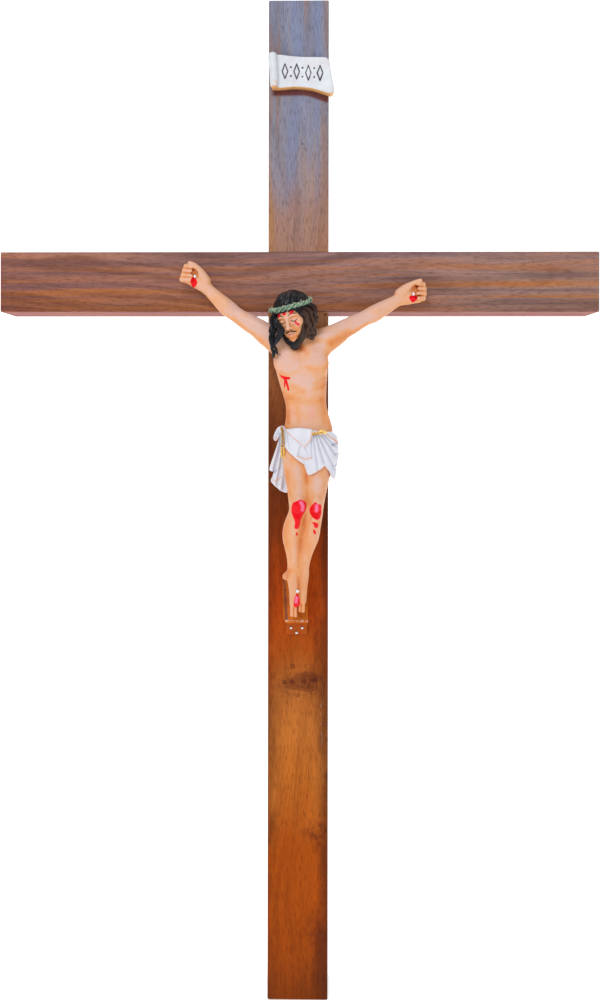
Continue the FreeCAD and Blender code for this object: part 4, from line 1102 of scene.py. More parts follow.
def flesh(s, name):
    """Muscles, airbrush and painted shade in hollows, on sides and undersides, blood, then the
    mesh.
    """
    for line, width, height, shade in BODY_STROKES:
        s.stroke(line, width, height)
        s.dab("shade", 0.8 * shade * s.profile(line, np.multiply(width, 1.5)))
    for line, amount, width in AIRBRUSH_AND_SHADE:
        s.dab("shade", amount * s.profile(line, width))
    x, _, z = s.v.T
    # painted shade, with the airbrush: darker orange on skin facing sideways or down, and in
    # creases
    side = np.clip(np.abs(s.n[:, 0]) - 0.5, 0, 1)
    under = np.clip(-s.n[:, 2] - 0.3, 0, 1)
    s.dab("shade", 0.75 * np.clip(s.cavity(3.0) - 0.06, 0, 1) + 0.40 * side + 0.35 * under + 0.06
          + 0.09 * np.clip((582 - z) / 30, 0, 1)                    # below the breast
          - 0.13 * np.clip(1.5 - np.abs(z - 480) / 18, 0, 1)        # pale thighs
          + 0.09 * np.clip((442 - z) / 20, 0, 1)                    # below the knees
          - 0.06 * np.clip((z - 548) / 20, 0, 1)                    # pale chest
          + 0.11 * np.clip((np.abs(x - 4) - 48) / 30, 0, 1))        # forearms and hands
    bleed(s)
    s.settle()
    return s.build(name, SKIN)


def torso_piece():
    s = Sculpt(body_field((-27, -80, 500), (34, -18, 626), 0.6))
    # painted highlights on the belly, and a rosy band across the chest
    for line, amount, width in (([(-4.5, 540), (-4.5, 534)], 0.4, 3.0),
                                ([(12, 541), (12, 534)], 0.5, 3.4),
                                ([(-12, 588), (-4, 586), (10, 590), (18, 592)], 0.25, 4.0)):
        s.dab("rose_and_highlight", amount * s.profile(line, width))
    for x, z in ((8.8, 573.8), (-3.3, 560.2)):
        s.dab("ink", 0.55 * s.profile([(x - 0.3, z), (x + 0.3, z + 0.1)], 0.5))
    return flesh(s, "corpus_torso")


def legs_piece():
    return flesh(Sculpt(body_field((-22, -80, 350), (38, -18, 502), 0.52)), "corpus_legs")


def arm_piece(name, low, high, hand):
    s = Sculpt(body_field(low, high, 0.42))
    # painted shade in the palm's hollow and between the fingers
    x, _, z = hand["hollow"]
    s.dab("shade", 0.28 * s.profile([(x - 0.6, z + 2.0), (x + 0.6, z - 2.0)], 2.2))
    for one, two in zip(hand["fingers"][:-1], hand["fingers"][1:]):
        s.stroke(between(one, two), 0.6, -0.25, 0.40)
    return flesh(s, name)


# ---------------------------------------------------------------- head, hair, beard and crown

HEAD = np.array([-4.5, -50.0, 621.5])
HEAD_AXES = axes_of((20, -11, -20))


def on_head(*points):
    """Points given across, backwards and up from the head's middle, in the cross's frame."""
    return [tuple(HEAD + HEAD_AXES @ np.array(p, dtype=float)) for p in points]


def both_sides(point):
    return [point, (-point[0], *point[1:])]


def head_piece():
    f = Field(HEAD - (24, 28, 30), HEAD + (22, 24, 25), 0.34)
    ball_at = lambda p, r, k: f.ball(on_head(p)[0], r, HEAD_AXES, k)
    dent_at = lambda p, r, k: f.dent(on_head(p)[0], r, HEAD_AXES, k)
    line_at = lambda pts, radii, k: f.limb(on_head(*pts), radii, 1.0, k)
    f.limb([(3.0, -42.0, 596), (1.2, -44.0, 607)] + on_head((0, 3, -10)), [8.2, 7.5, 7.2], 1.0, 2)
    ball_at((0, 1.5, 4.5), (13.6, 17.0, 15.2), 3)
    ball_at((0, -5.6, -4.0), (11.4, 10.4, 14.4), 4)
    ball_at((0, -7.6, -12.0), (9.0, 8.4, 7.4), 3)
    ball_at((0, -14.0, -17.2), (3.7, 2.9, 2.8), 2.5)
    for p in both_sides((7.4, -11.4, -3.4)):
        ball_at(p, (4.2, 3.9, 3.6), 2.6)
    for sign in (-1, 1):
        line_at([(sign * 8.4, -13.0, 3.4), (sign * 4.6, -15.6, 4.3), (sign * 1.4, -16.0, 3.2)],
                [1.1, 1.4, 1.1], 1.8)
    for p in both_sides((5.2, -17.0, 0.5)):
        dent_at(p, (3.8, 2.7, 2.5), 1.2)
    for p in both_sides((5.3, -12.9, 0.1)):
        ball_at(p, (3.2, 2.7, 2.3), 0.6)
    ball_at((0, -13.4, -11.2), (5.6, 4.6, 4.8), 2.2)
    line_at([(0, -15.9, 3.4), (0, -18.0, -2.0), (0, -20.0, -5.6)], [1.2, 1.35, 1.75], 1.2)
    for p in both_sides((2.0, -17.6, -6.2)):
        ball_at(p, (1.5, 1.8, 1.3), 0.8)
    for p in both_sides((1.1, -18.9, -7.9)):
        dent_at(p, (0.7, 1.0, 0.7), 0.3)
    line_at([(-3.9, -16.1, -11.3), (-1.1, -17.9, -10.5), (0, -17.8, -10.8), (1.1, -17.9, -10.5),
             (3.9, -16.1, -11.3)], [0.5, 0.85, 0.8, 0.85, 0.5], 0.5)
    line_at([(-3.3, -16.2, -12.2), (0, -17.7, -12.9), (3.3, -16.2, -12.2)], [0.6, 1.05, 0.6], 0.5)
    dent_at((0, -17.6, -15.0), (2.6, 1.0, 0.9), 1.0)
    s = Sculpt(f)
    local = (s.v - HEAD) @ HEAD_AXES
    ahead = np.clip(-2 * (s.n @ HEAD_AXES)[:, 1], 0, 1) * (local[:, 1] < -6)

    def draw(line, width, height, amount=0.0, name="ink"):
        """A stroke given across and up on the face, seen square from the front."""
        gap, along = line_gap(local[:, [0, 2]], curve(line, 20))
        bump = np.exp(-(gap / width_at(along, width)) ** 2) * ahead
        s.lift += height * bump
        s.dab(name, amount * bump)

    # ink on the lids and brows, blush on the cheeks and lips, painted shade in the lid creases,
    # beside the nose, in the cheeks and under the lip
    for sign in (-1, 1):
        face = lambda *points: [(sign * u, v) for u, v in points]
        draw(face((2.7, -0.7), (5.4, -1.9), (8.2, -0.8)), [0.3, 0.42, 0.3], -0.18, 1.1)
        draw(face((2.6, 1.9), (5.4, 2.5), (8.4, 1.3)), 0.5, -0.2, 0.35, "shade")
        draw(face((2.2, 4.2), (5.4, 5.4), (9.4, 4.0)), [0.3, 0.5, 0.25], 0.1, 1.1)
        draw(face((3.2, -5.2), (5.0, -9.4)), 0.8, -0.25, 0.22, "shade")
        draw(face((6.5, -4.6), (9, -4.0)), 3.2, 0.0, 0.35, "rose_and_highlight")
        draw(face((6.5, -9), (4.5, -13)), 2.2, 0.0, 0.25, "shade")
    draw([(-3.7, -11.5), (0, -11.8), (3.7, -11.5)], 0.32, -0.25, 0.7)
    draw([(-3.0, -11.2), (0, -10.9), (3.0, -11.2)], 0.8, 0.0, 0.5, "rose_and_highlight")
    draw([(-2.8, -12.6), (0, -13.2), (2.8, -12.6)], 0.9, 0.0, 0.6, "rose_and_highlight")
    draw([(-4, -15.5), (0, -16.2), (4, -15.5)], 2.6, 0.0, 0.35, "shade")
    # painted shade in the face's creases
    s.dab("shade", 0.5 * np.clip(s.cavity(1.8) - 0.08, 0, 1) + 0.12)
    wet = np.full(len(s.v), DRY)
    for u, v, wide, tall in ((-7.0, 6.6, 1.8, 2.3), (-1.4, 7.2, 1.7, 2.2), (5.2, 7.4, 2.0, 2.6),
                             (6.6, -3.4, 1.0, 1.4), (7.9, -5.2, 1.1, 1.3)):
        d = np.sqrt(((local[:, 0] - u) / wide) ** 2 + ((local[:, 2] - v) / tall) ** 2)
        wet = np.where(local[:, 1] < -5, np.maximum(wet, (1 - d) * wide), wet)
    wet_skin(s, wet, 0.2)
    s.settle()
    return s.build("corpus_head", SKIN)


def lock(f, path, radius, strands, spread, wave, turns):
    """A lock of hair: thin strands side by side along a path, waving together."""
    rows = curve(path, 5 * len(path))
    span = np.linspace(0, 1, len(rows))
    run = np.gradient(rows, axis=0)
    run /= np.linalg.norm(run, axis=1, keepdims=True)
    out = np.tile([0.0, -1.0, 0.0], (len(rows), 1))
    side = np.cross(run, out)
    side /= np.maximum(np.linalg.norm(side, axis=1, keepdims=True), 1e-6)
    out = np.cross(side, run)
    body = np.sin(np.clip(span * 1.12 + 0.12, 0, 1) * math.pi) ** 0.5
    for i in range(strands):
        turn = 2 * math.pi * i / strands + rng.uniform(-0.3, 0.3)
        shift = side * (spread * math.cos(turn)) + out * (spread * 0.55 * math.sin(turn))
        ripple = side * (wave * np.sin(span * turns * 2 * math.pi + 0.4 * i))[:, None]
        points = rows + shift * body[:, None] + ripple
        radii = radius * np.clip(1.15 * body, 0.35, 1.0) * rng.uniform(0.85, 1.15)
        f.limb(points, radii, 1.0, 0.2, fine=1)


HAIR_BOX = ((-30, -80, 578), (22, -24, 648))
NECKLINE = 604
SIDE_LOCKS = [  # path, strand radius, strands, spread and wave: from the temple to the neck
    ([(5, -62, 629), (9, -61, 624), (12.6, -58.5, 618), (12.2, -57, 611), (13.4, -55.5, 604.5),
      (12, -54, 601.5)], 0.95, 7, 2.2, 0.8),
    ([(4.6, -63.5, 626), (7.4, -62.5, 620), (9.4, -60.5, 614), (8.6, -58.5, 607),
      (9.8, -57, 602.5)], 0.9, 6, 1.7, 0.7),
    ([(8.5, -58, 632), (12.4, -57, 627), (15, -55.5, 621), (14, -53.5, 614), (15.4, -52, 608),
      (14, -51, 603)], 0.95, 7, 2.0, 0.9),
    ([(9.5, -53, 633), (13.4, -52, 627), (14.2, -50, 619), (13.4, -48, 611), (12.4, -46, 604)],
     1.1, 6, 2.4, 0.8),
]
SIDE_CURLS = [((15.4, -55.5, 624.5), 2.3), ((16.0, -54.5, 619.0), 2.1),
              ((12.4, -54.6, 602.6), 2.2), ((9.6, -56.6, 603.6), 1.8)]
CHEEK_LOCKS = [  # past the viewer's left cheek and over the shoulder
    ([(-20, -58, 623), (-21.6, -58, 616), (-20.8, -58.5, 609), (-22.2, -58.6, 602),
      (-22.6, -58, 595), (-21.6, -57.5, 588), (-20.8, -57, 584.5)], 0.95, 7, 1.9, 0.6),
    ([(-19, -61, 618), (-17, -62, 612), (-13.6, -62.6, 607.4), (-15.8, -62.6, 603.4),
      (-19, -61.5, 598.6), (-21, -60, 592), (-21.4, -59, 587.5)], 0.95, 6, 1.7, 0.4),
    ([(-12.2, -63, 608.6), (-14.8, -63, 605), (-18.4, -62, 601), (-20.8, -60.6, 596)],
     0.95, 4, 1.2, 0.3),
    ([(-20, -52, 621), (-22.4, -50, 612), (-22, -48, 603), (-19.5, -47, 596)], 1.2, 5, 2.0, 0.5),
    ([(-21.2, -59.5, 596), (-18.6, -59.6, 591.5), (-17.6, -59, 588.2), (-14.6, -58.6, 587.4)],
     0.75, 3, 0.7, 0.2),
    ([(-21.6, -59, 592), (-20.4, -58.8, 588), (-21.4, -58, 583.6)], 0.8, 3, 0.7, 0.2),
]


def hair_piece():
    low, high = HAIR_BOX
    f = Field(low, high, 0.36)
    top = (0.5, 3.4, 3.8)
    size = np.array([16.2, 19.4, 17.6])
    f.ball(on_head(top)[0], tuple(size), HEAD_AXES, 0.5)
    f.dent(on_head((0, -17.5, -5.0))[0], (12.6, 14.0, 16.0), HEAD_AXES, 0.6)
    f.add(low, (*high[:2], NECKLINE + 8), lambda x, y, z: z - NECKLINE + 0 * (x + y), 2.0, -1)

    def on_cap(turn, tilt, lift=0.0):
        """A point of the cap: turn about its axis from the front, tilt down from its top."""
        d = np.array([math.sin(turn) * math.sin(tilt), -math.cos(turn) * math.sin(tilt),
                      math.cos(tilt)])
        return tuple(np.array(top) + d * (size + lift))

    # strands from the crown of the head down to the thorns, and on down the back and sides
    count = 38
    for i in range(count):
        turn = 2 * math.pi * (i + rng.uniform(-0.3, 0.3)) / count
        swirl = 0.34 * rng.uniform(0.5, 1.6)
        bend = rng.uniform(-0.09, 0.09)
        line = [on_cap(turn + swirl * (1 - t) * 2.2 + bend * math.sin(6 * t), 0.12 + t * 1.2,
                       -0.1 + 0.35 * math.sin(4 * t + i)) for t in np.linspace(0, 1, 8)]
        r = rng.uniform(1.15, 1.6)
        f.limb(on_head(*line), [0.7, r, r, r, r, 0.95 * r, 0.9 * r, 0.8 * r], 1.0, 0.18, fine=2)
    for i in range(34):
        turn = math.radians(78 + 190 * (i + rng.uniform(-0.3, 0.3)) / 33)
        swing = rng.uniform(-0.16, 0.16)
        line = [on_cap(turn + swing * math.sin(3 * t), 1.2 + 0.6 * t, -0.5)
                for t in np.linspace(0, 1, 4)]
        base = np.array(line[-1])
        low = [tuple(base * (1 - 0.10 * j) + np.array([0.6 * math.sin(2.4 * j + i), 0, -5.0 * j]))
               for j in (1, 2, 3)]
        r = rng.uniform(1.1, 1.5)
        f.limb(on_head(*(line + low)), [r, r, r, r, 0.9 * r, 0.8 * r, 0.6 * r], 1.0, 0.2, fine=3)
    for lock_of in SIDE_LOCKS:
        lock(f, *lock_of, 3.0)
    for spot, r in SIDE_CURLS:
        f.ball(spot, (r, r, 1.2 * r), None, 1.2)
    for lock_of in CHEEK_LOCKS:
        lock(f, *lock_of, 2.5)
    # a full beard along the jaw, round at the chin, and a thin moustache
    for sign in (-1, 1):
        for j in range(6):
            edge = 0.85 * j
            line = [(sign * (12.4 - 0.2 * edge), -3.5 - edge, 0),
                    (sign * (12.0 - 0.35 * edge), -6.4 - edge, -8),
                    (sign * (10.0 - 0.6 * edge), -9.8 - 0.8 * edge, -15.4 + 0.2 * edge),
                    (sign * (6.2 - 0.6 * edge), -12.8 - 0.6 * edge, -20.6 + 0.4 * edge),
                    (sign * (1.4 + 0.1 * edge), -14.2 - 0.55 * edge, -24.2 + 0.7 * edge)]
            f.limb(on_head(*line), [0.8, 1.2, 1.4, 1.45, 1.1], 1.0, 0.2, fine=3)
        for j in range(4):
            line = [(sign * (5.2 - j), -15.2, -18.0), (sign * (3.6 - 0.9 * j), -16.2, -21.0),
                    (sign * (2.4 - 0.7 * j), -15.8, -24.0), (sign * (1.4 - 0.2 * j), -14.8, -26.0)]
            f.limb(on_head(*line), [1.1, 1.6, 1.7, 1.1], 1.0, 0.2, fine=3)
        line = [(sign * 0.6, -18.4, -9.1), (sign * 2.6, -17.9, -9.6), (sign * 5.2, -16.0, -10.8)]
        f.limb(on_head(*line), [0.4, 0.6, 0.4], 1.0, 0.3, fine=3)
    s = Sculpt(f)
    # browner below the crown at the viewer's right and a little on top, as brown paint, and most on
    # the locks' ridges as a painted highlight
    x, _, z = s.v.T
    brown = 1.3 * np.clip((x + 2 - 0.1 * (z - 615)) / 8, 0, 1) * np.clip((634 - z) / 10, 0, 1)
    brown += 0.35 * np.clip((z - 634) / 6, 0, 1)
    ridge_highlight = np.clip(-s.hollows(3) * 5, 0, 1)
    s.paint["brown"] = np.clip(brown * (0.45 + 0.9 * ridge_highlight), 0, 1)
    return s.build("corpus_hair", HAIR)


THORNS = [  # degrees round the crown from the front, how far up or down it leans, length
    (-78, 0.9, 3.0), (-48, -0.8, 2.6), (-22, 1.0, 2.8), (8, -0.7, 2.4), (30, 1.1, 3.0),
    (55, -0.9, 2.6), (84, 0.9, 3.4), (112, 1.0, 2.8), (150, -0.8, 2.8), (-120, 1.0, 2.8),
    (-155, 0.9, 2.6), (180, 1.0, 2.8)]


def crown_piece():
    centre = np.array([-6.6, -50.4, 631.2])
    axes = axes_of((11, -15.5, 0))
    f = Field(centre - (24, 24, 13), centre + (25, 24, 14), 0.34)
    put = lambda *points: [centre + axes @ np.array(p) for p in points]
    t = np.linspace(0, 2 * math.pi, 150)
    radius = 18.0
    for j in range(3):
        turn = 8 * t + 2 * math.pi * j / 3
        r = radius + 1.15 * np.cos(turn)
        wobble = 0.35 * np.sin(5 * t + j)
        local = np.stack([r * np.sin(t), -r * np.cos(t), 1.25 * np.sin(turn) + wobble], axis=1)
        f.limb(centre + local @ axes.T, 1.0, 1.0, 0.2, fine=1)
    for angle, lean, long in THORNS:
        a = math.radians(angle)
        root = np.array([radius * math.sin(a), -radius * math.cos(a), 0.6 * lean])
        way = np.array([0.5 * math.sin(a + 0.5), -0.5 * math.cos(a + 0.5), lean])
        tip = root + way / np.linalg.norm(way) * long
        f.limb(put(root, tip), [0.85, 0.25], 1.0, 0.4)
    loose_end = put((17.0, -4.0, 0.5), (18.6, -7.5, 0.9), (19.4, -11.0, 1.4))
    f.limb(loose_end, [1.3, 1.1, 0.6], 1.0, 0.6)
    s = Sculpt(f)
    # painted highlight and shade: cream on ridges and tops, dark green in hollows
    s.paint["ridge"] = np.clip(0.45 - s.hollows(3) * 3.2 + 0.25 * s.n[:, 2], 0, 1)
    return s.build("crown_twist", CROWN)


# ---------------------------------------------------------------- loincloth, cord and tassels

HEM = [(29.5, 481.5), (27, 486.5), (23.5, 491), (20, 488), (12.5, 483.5), (10, 482.5), (8, 484.5),
       (5.5, 492), (0, 496), (-8, 503), (-12, 508), (-26, 509)]
CLOTH_FRONT = [(-26, 526), (-19, 523), (-14, 524), (-10.5, 521.5), (1, 523), (24, 520.5),
               (30, 520.5), (34.5, 517), (44, 515), (44, 478.5), (31.5, 478.5)] + HEM
CLOTH_BACK = [(-30, 526), (22, 523), (29, 521), (35, 517), (45, 515), (45, 486), (-30, 486)]
PLEATS = [  # front-view lines of the folds' valleys, deepest first
    [(14, 517), (15, 504.5), (16.5, 492.5), (17, 488)],
    [(16, 517), (19.5, 504.5), (23, 494)],
    [(18.5, 517), (23.5, 506), (30, 494), (32.5, 487)],
    [(20.5, 517.5), (27.5, 509), (32.5, 502), (36, 497.5)],
    [(23, 517.5), (29, 511.5), (34.5, 507), (37, 504.5)],
    [(12.5, 515.5), (12, 506), (12.5, 497.5)],
]
ROLLED_FOLD = [(24.5, 518.5), (29, 515), (35, 511), (37, 509.5)]
LOW_ROLL = [(-0.5, 499.5), (2.5, 498), (6, 497), (9.5, 497.5), (12.5, 498.5)]
FLAP = [(-13, 523.5), (-12, 525), (2, 525.5), (13, 524.5), (13, 518.5), (11.5, 512), (6, 506.5),
        (2, 509.5), (-8.5, 519)]


def loincloth_piece():
    low, high = (-24, -76, 472), (46, -19, 532)
    f = Field(low, high, 0.46)
    f.add((-28, -62, 460), (36, -22, 560), torso, 0.01)
    for line, radii in LEGS:
        f.limb(line[:4], radii[:4], 1.08, 5.0)
    f.ball((29.0, -42, 505), (5.6, 10, 15), (0, -6, 0), 4.0)
    f.ball((12.0, -52, 503), (9, 6.5, 15), None, 4.0)
    f.ball((23.0, -50, 498), (8, 7, 13), (0, -12, 0), 4.0)
    f.ball((26.6, -49, 484.5), (5.6, 7.5, 9.0), None, 3.0)
    # a shell round the hips, cut to one outline in front and to another behind
    f.value = np.maximum(f.value - 1.7, -(f.value + 0.5))
    _, (x, y, z) = f.window(low, high)
    share = np.clip((y + 46) / 9, 0, 1)
    cut = (grid_outline_gap(x, z, CLOTH_FRONT) * (1 - share)
           + grid_outline_gap(x, z, CLOTH_BACK) * share)
    f.value = -smooth_min(-f.value, -cut.astype(np.float32), 0.7)
    f.clear_of_wood(0.1, 0.6)
    s = Sculpt(f)
    # one layer laid over another, and the rolled hem
    inside = -outline_gap(s.v[:, 0], s.v[:, 2], FLAP)
    step = np.clip(0.5 + inside / 0.9, 0, 1) * s.facing()
    s.lift += 1.2 * step
    edge = np.exp(-((inside - 0.6) / 0.8) ** 2) * s.facing() * (s.v[:, 2] < 521)
    s.lift += 0.45 * edge
    s.dab("peach", 0.75 * edge)
    # fold valleys with painted shade and their ridges with painted highlight
    for line in PLEATS:
        s.stroke(line, [0.7, 1.0, 1.2, 1.2][:len(line)], -1.1, 0.26)
    for a, b in zip(PLEATS[:5], PLEATS[1:5]):
        ridge = between(a, b)
        s.stroke(ridge, [0.7, 1.2, 1.4, 1.3][:len(ridge)], 0.7, -0.12)
    s.stroke(ROLLED_FOLD, [0.8, 1.2, 1.2], 0.8)
    s.dab("peach", 0.9 * s.profile(ROLLED_FOLD, [0.7, 1.1, 1.1]))
    # three folds at the side with painted shade in them
    for height in (511.0, 501.5, 492.5):
        line = [(30.0, -56, height - 2.4), (35.5, -48, height), (37.5, -40, height + 1)]
        bump = s.profile(line, 1.3)
        s.lift -= 1.5 * bump
        s.dab("shade", 0.3 * bump)
    # more folds with painted shade
    s.stroke([(2, 507.5), (1.5, 503.5), (1, 500.5)], [0.8, 0.9, 0.7], -0.6, 0.36)
    s.stroke([(-9.5, 517.5), (-8.6, 511), (-7.2, 506)], [0.7, 1.0, 0.8], -0.45, 0.28)
    s.stroke([(6.6, 506.2), (8.8, 501.5), (9.6, 496)], [0.7, 1.0, 0.8], -0.4, 0.22)
    s.stroke(LOW_ROLL, [0.9, 1.3, 1.0], 0.9)
    s.dab("peach", 0.8 * s.profile(LOW_ROLL, [0.9, 1.3, 1.0]))
    # hem painted peach
    gap, _ = line_gap(s.v[:, [0, 2]], np.array(HEM, dtype=float))
    hem = np.exp(-(gap / 0.75) ** 2) * (s.v[:, 1] < -40) * (s.v[:, 2] < 512)
    s.dab("peach", 0.95 * hem)
    s.lift += 0.35 * np.exp(-(gap / 0.9) ** 2) * s.facing() * (s.v[:, 2] < 512)
    # soft folds round the back and sides
    for i in range(16):
        x = rng.uniform(-14, 34)
        z0 = rng.uniform(512, 520)
        line = [(x, -24 - 3 * (i % 3), z0), (x + rng.uniform(-2, 2), -24, z0 - 12),
                (x + rng.uniform(-4, 4), -23, z0 - 26)]
        s.lift -= 0.5 * s.profile(line, 1.5)
    s.settle()
    # painted shade in the folds' hollows and on undersides
    s.dab("shade", np.clip(s.hollows(4) * 1.5, -0.2, 0.5) + 0.08 + 0.2 * np.clip(-s.n[:, 2], 0, 1))
    return s.build("loincloth", CLOTH)


TAIL = [(-16, 516), (-20, 503.5), (-25, 488.5), (-24.5, 485.5), (-22, 484), (-22.5, 480.5),
        (-24, 477), (-22.5, 474), (-15, 467.5), (-9.5, 466), (-8, 470), (-10.5, 485.5),
        (-12.5, 508), (-12.5, 517)]
BOW = [(-13, 525.5), (-15.5, 525), (-18.5, 523), (-21.5, 516), (-21, 512.5), (-19, 512),
       (-16.5, 515), (-13.5, 520.5)]


def hung_cloth(f, corners, middle, half, lean=0.0):
    """A folded end of cloth: an outline in front view, thickened along Y."""
    p = closed(corners, 4)
    lo = (p[:, 0].min() - 2, middle - half - 4, p[:, 1].min() - 2)
    hi = (p[:, 0].max() + 2, middle + half + 4, p[:, 1].max() + 2)

    def shape(x, y, z):
        ripple = 0.55 * np.sin((x - 0.2 * (z - 514)) * 1.15 + 0.03 * (z - 500))
        off = np.abs(y - middle - lean * (z - 500) - ripple) - half
        return plate(grid_outline_gap(x, z, p), off, 0.9)

    f.add(lo, hi, shape, 0.8)


def drape_piece():
    f = Field((-30, -60, 462), (-4, -20, 530), 0.44)
    hung_cloth(f, TAIL, -36.5, 6.5, 0.03)
    hung_cloth(f, BOW, -40.5, 5.0)
    f.ball((-13.6, -46.5, 521.5), (3.6, 5.0, 3.4), None, 1.5)
    f.clear_of_wood(0.2, 0.5)
    s = Sculpt(f)
    # folds with painted shade, ridges with painted highlight
    for line, depth in (([(-15.0, 514), (-17.0, 503), (-20.4, 490), (-20.9, 484.5)], 1.2),
                        ([(-13.8, 512), (-14.6, 498), (-16.6, 484), (-18.6, 474)], 1.1),
                        ([(-12.8, 506), (-12.6, 492), (-12.6, 480), (-13.2, 470)], 0.9),
                        ([(-21.9, 484.2), (-18.0, 486.0), (-15.4, 488.2)], 0.7),
                        ([(-17.4, 521.6), (-18.6, 517.6), (-19.4, 514.4)], 0.8),
                        ([(-15.4, 522.4), (-16.6, 518.6), (-17.4, 515.8)], 0.6)):
        s.stroke(line, [0.8, 1.1, 1.1], -0.7 * depth, 0.30)
    for line in ([(-16.2, 512), (-19.4, 498), (-22.6, 488)],
                 [(-14.2, 510), (-16.0, 494), (-19.6, 478)],
                 [(-12.6, 500), (-13.6, 486), (-15.6, 472)]):
        s.stroke(line, [0.8, 1.2, 1.4], 0.6, -0.1)
    s.dab("peach", 0.7 * s.profile([(-20.6, 476.4), (-17.2, 477.6), (-14.8, 480.0)], 1.7))
    s.dab("peach", 0.8 * s.profile([(-20.2, 514.4), (-19.0, 512.8), (-17.2, 514.8)], 1.1))
    gap = np.abs(outline_gap(s.v[:, 0], s.v[:, 2], closed(TAIL, 7)))
    s.dab("peach", 0.45 * np.exp(-(gap / 0.5) ** 2) * (s.v[:, 0] < -14) * (s.v[:, 2] < 490))
    s.settle()
    # painted shade in the hollows
    s.dab("shade", np.clip(s.hollows(4) * 1.4, -0.2, 0.45) + 0.12)
    return s.build("loincloth_end", CLOTH)


def twine(f, path, steps, turns, swing_a, swing_b, radius):
    """Two strands twisted round a path, swinging between two half axes."""
    t = np.linspace(0, 1, steps)
    for start in (0, math.pi):
        turn = t * turns * math.pi + start
        twist = np.outer(np.cos(turn), swing_a) + np.outer(np.sin(turn), swing_b)
        f.limb(curve(path, steps) + twist, radius, 1.0, 0.1, fine=1)


def cord_piece():
    f = Field((-19, -68, 494), (28, -44, 529), 0.3)
    twine(f, [(12.4, -60.0, 518.4), (15.4, -60.2, 518.9), (18.6, -60.0, 519.4),
              (24.8, -59.2, 519.8)], 60, 4.6, (0, 0.5, 0), (0, 0, 0.6), 0.78)
    f.ball((20.8, -60.6, 521.2), (2.5, 1.5, 1.25), (0, -4, 0), 0.4)
    f.ball((23.8, -60.0, 520.2), (1.3, 1.2, 1.2), None, 0.4)
    # the tassels and their knot
    f.ball((-14.2, -51.5, 523.4), (1.3, 1.5, 1.2), None, 0.3)
    for line in ([(-14.4, -52.6, 523.6), (-13.7, -54.2, 513.1), (-14.0, -54.0, 506.5)],
                 [(-13.0, -52.6, 522.6), (-12.1, -54.6, 512.5), (-12.0, -54.6, 506.5)]):
        twine(f, line, 40, 11, (0.34, 0, 0), (0, 0.34, 0), 0.42)
    for x, y, low, wide in ((-14.0, -54.0, 498.0, 0.9), (-11.9, -54.6, 496.6, 0.85)):
        f.ball((x, y, 506.4), (0.9, 0.9, 0.9), None, 0.3)
        for j in range(6):
            a = 2 * math.pi * j / 6
            dx, dy = math.cos(a), math.sin(a)
            f.limb([(x + 0.4 * dx, y + 0.4 * dy, 505.6),
                    (x + 0.6 * wide * dx, y + 0.6 * wide * dy, 502),
                    (x + 0.4 + 0.55 * wide * dx, y + 0.55 * wide * dy,
                     low + 0.5 * math.sin(5 * j))], [0.5, 0.6, 0.32], 1.0, 0.12)
    s = Sculpt(f)
    # dullest on the tails, brightest on the beads, between those on the cord and the tassels
    x, _, z = s.v.T
    dull = (0.42 * ((x > 10) & (x < 18.5)) + 0.80 * ((x < 0) & (z > 507))
            + 0.25 * ((x < 0) & (z <= 507)))
    # painted shade in the twists' hollows and painted light on faces turned up
    s.paint["shade"] = np.clip(0.25 + dull + 6.0 * s.hollows(3) - 0.3 * s.n[:, 2], 0, 1)
    return s.build("girdle_cord", GOLD)


# ---------------------------------------------------------------- scroll plaque and footrest

SHEET = [(-24, 831), (-14, 831), (-4, 832), (8, 831), (15, 829.5), (22.5, 827), (28.5, 825),
         (31.5, 826.5), (32, 829.5), (31.5, 834.5), (28.5, 850.5), (28, 855), (25.5, 858),
         (22, 859), (0, 860), (-20, 862), (-24, 861)]


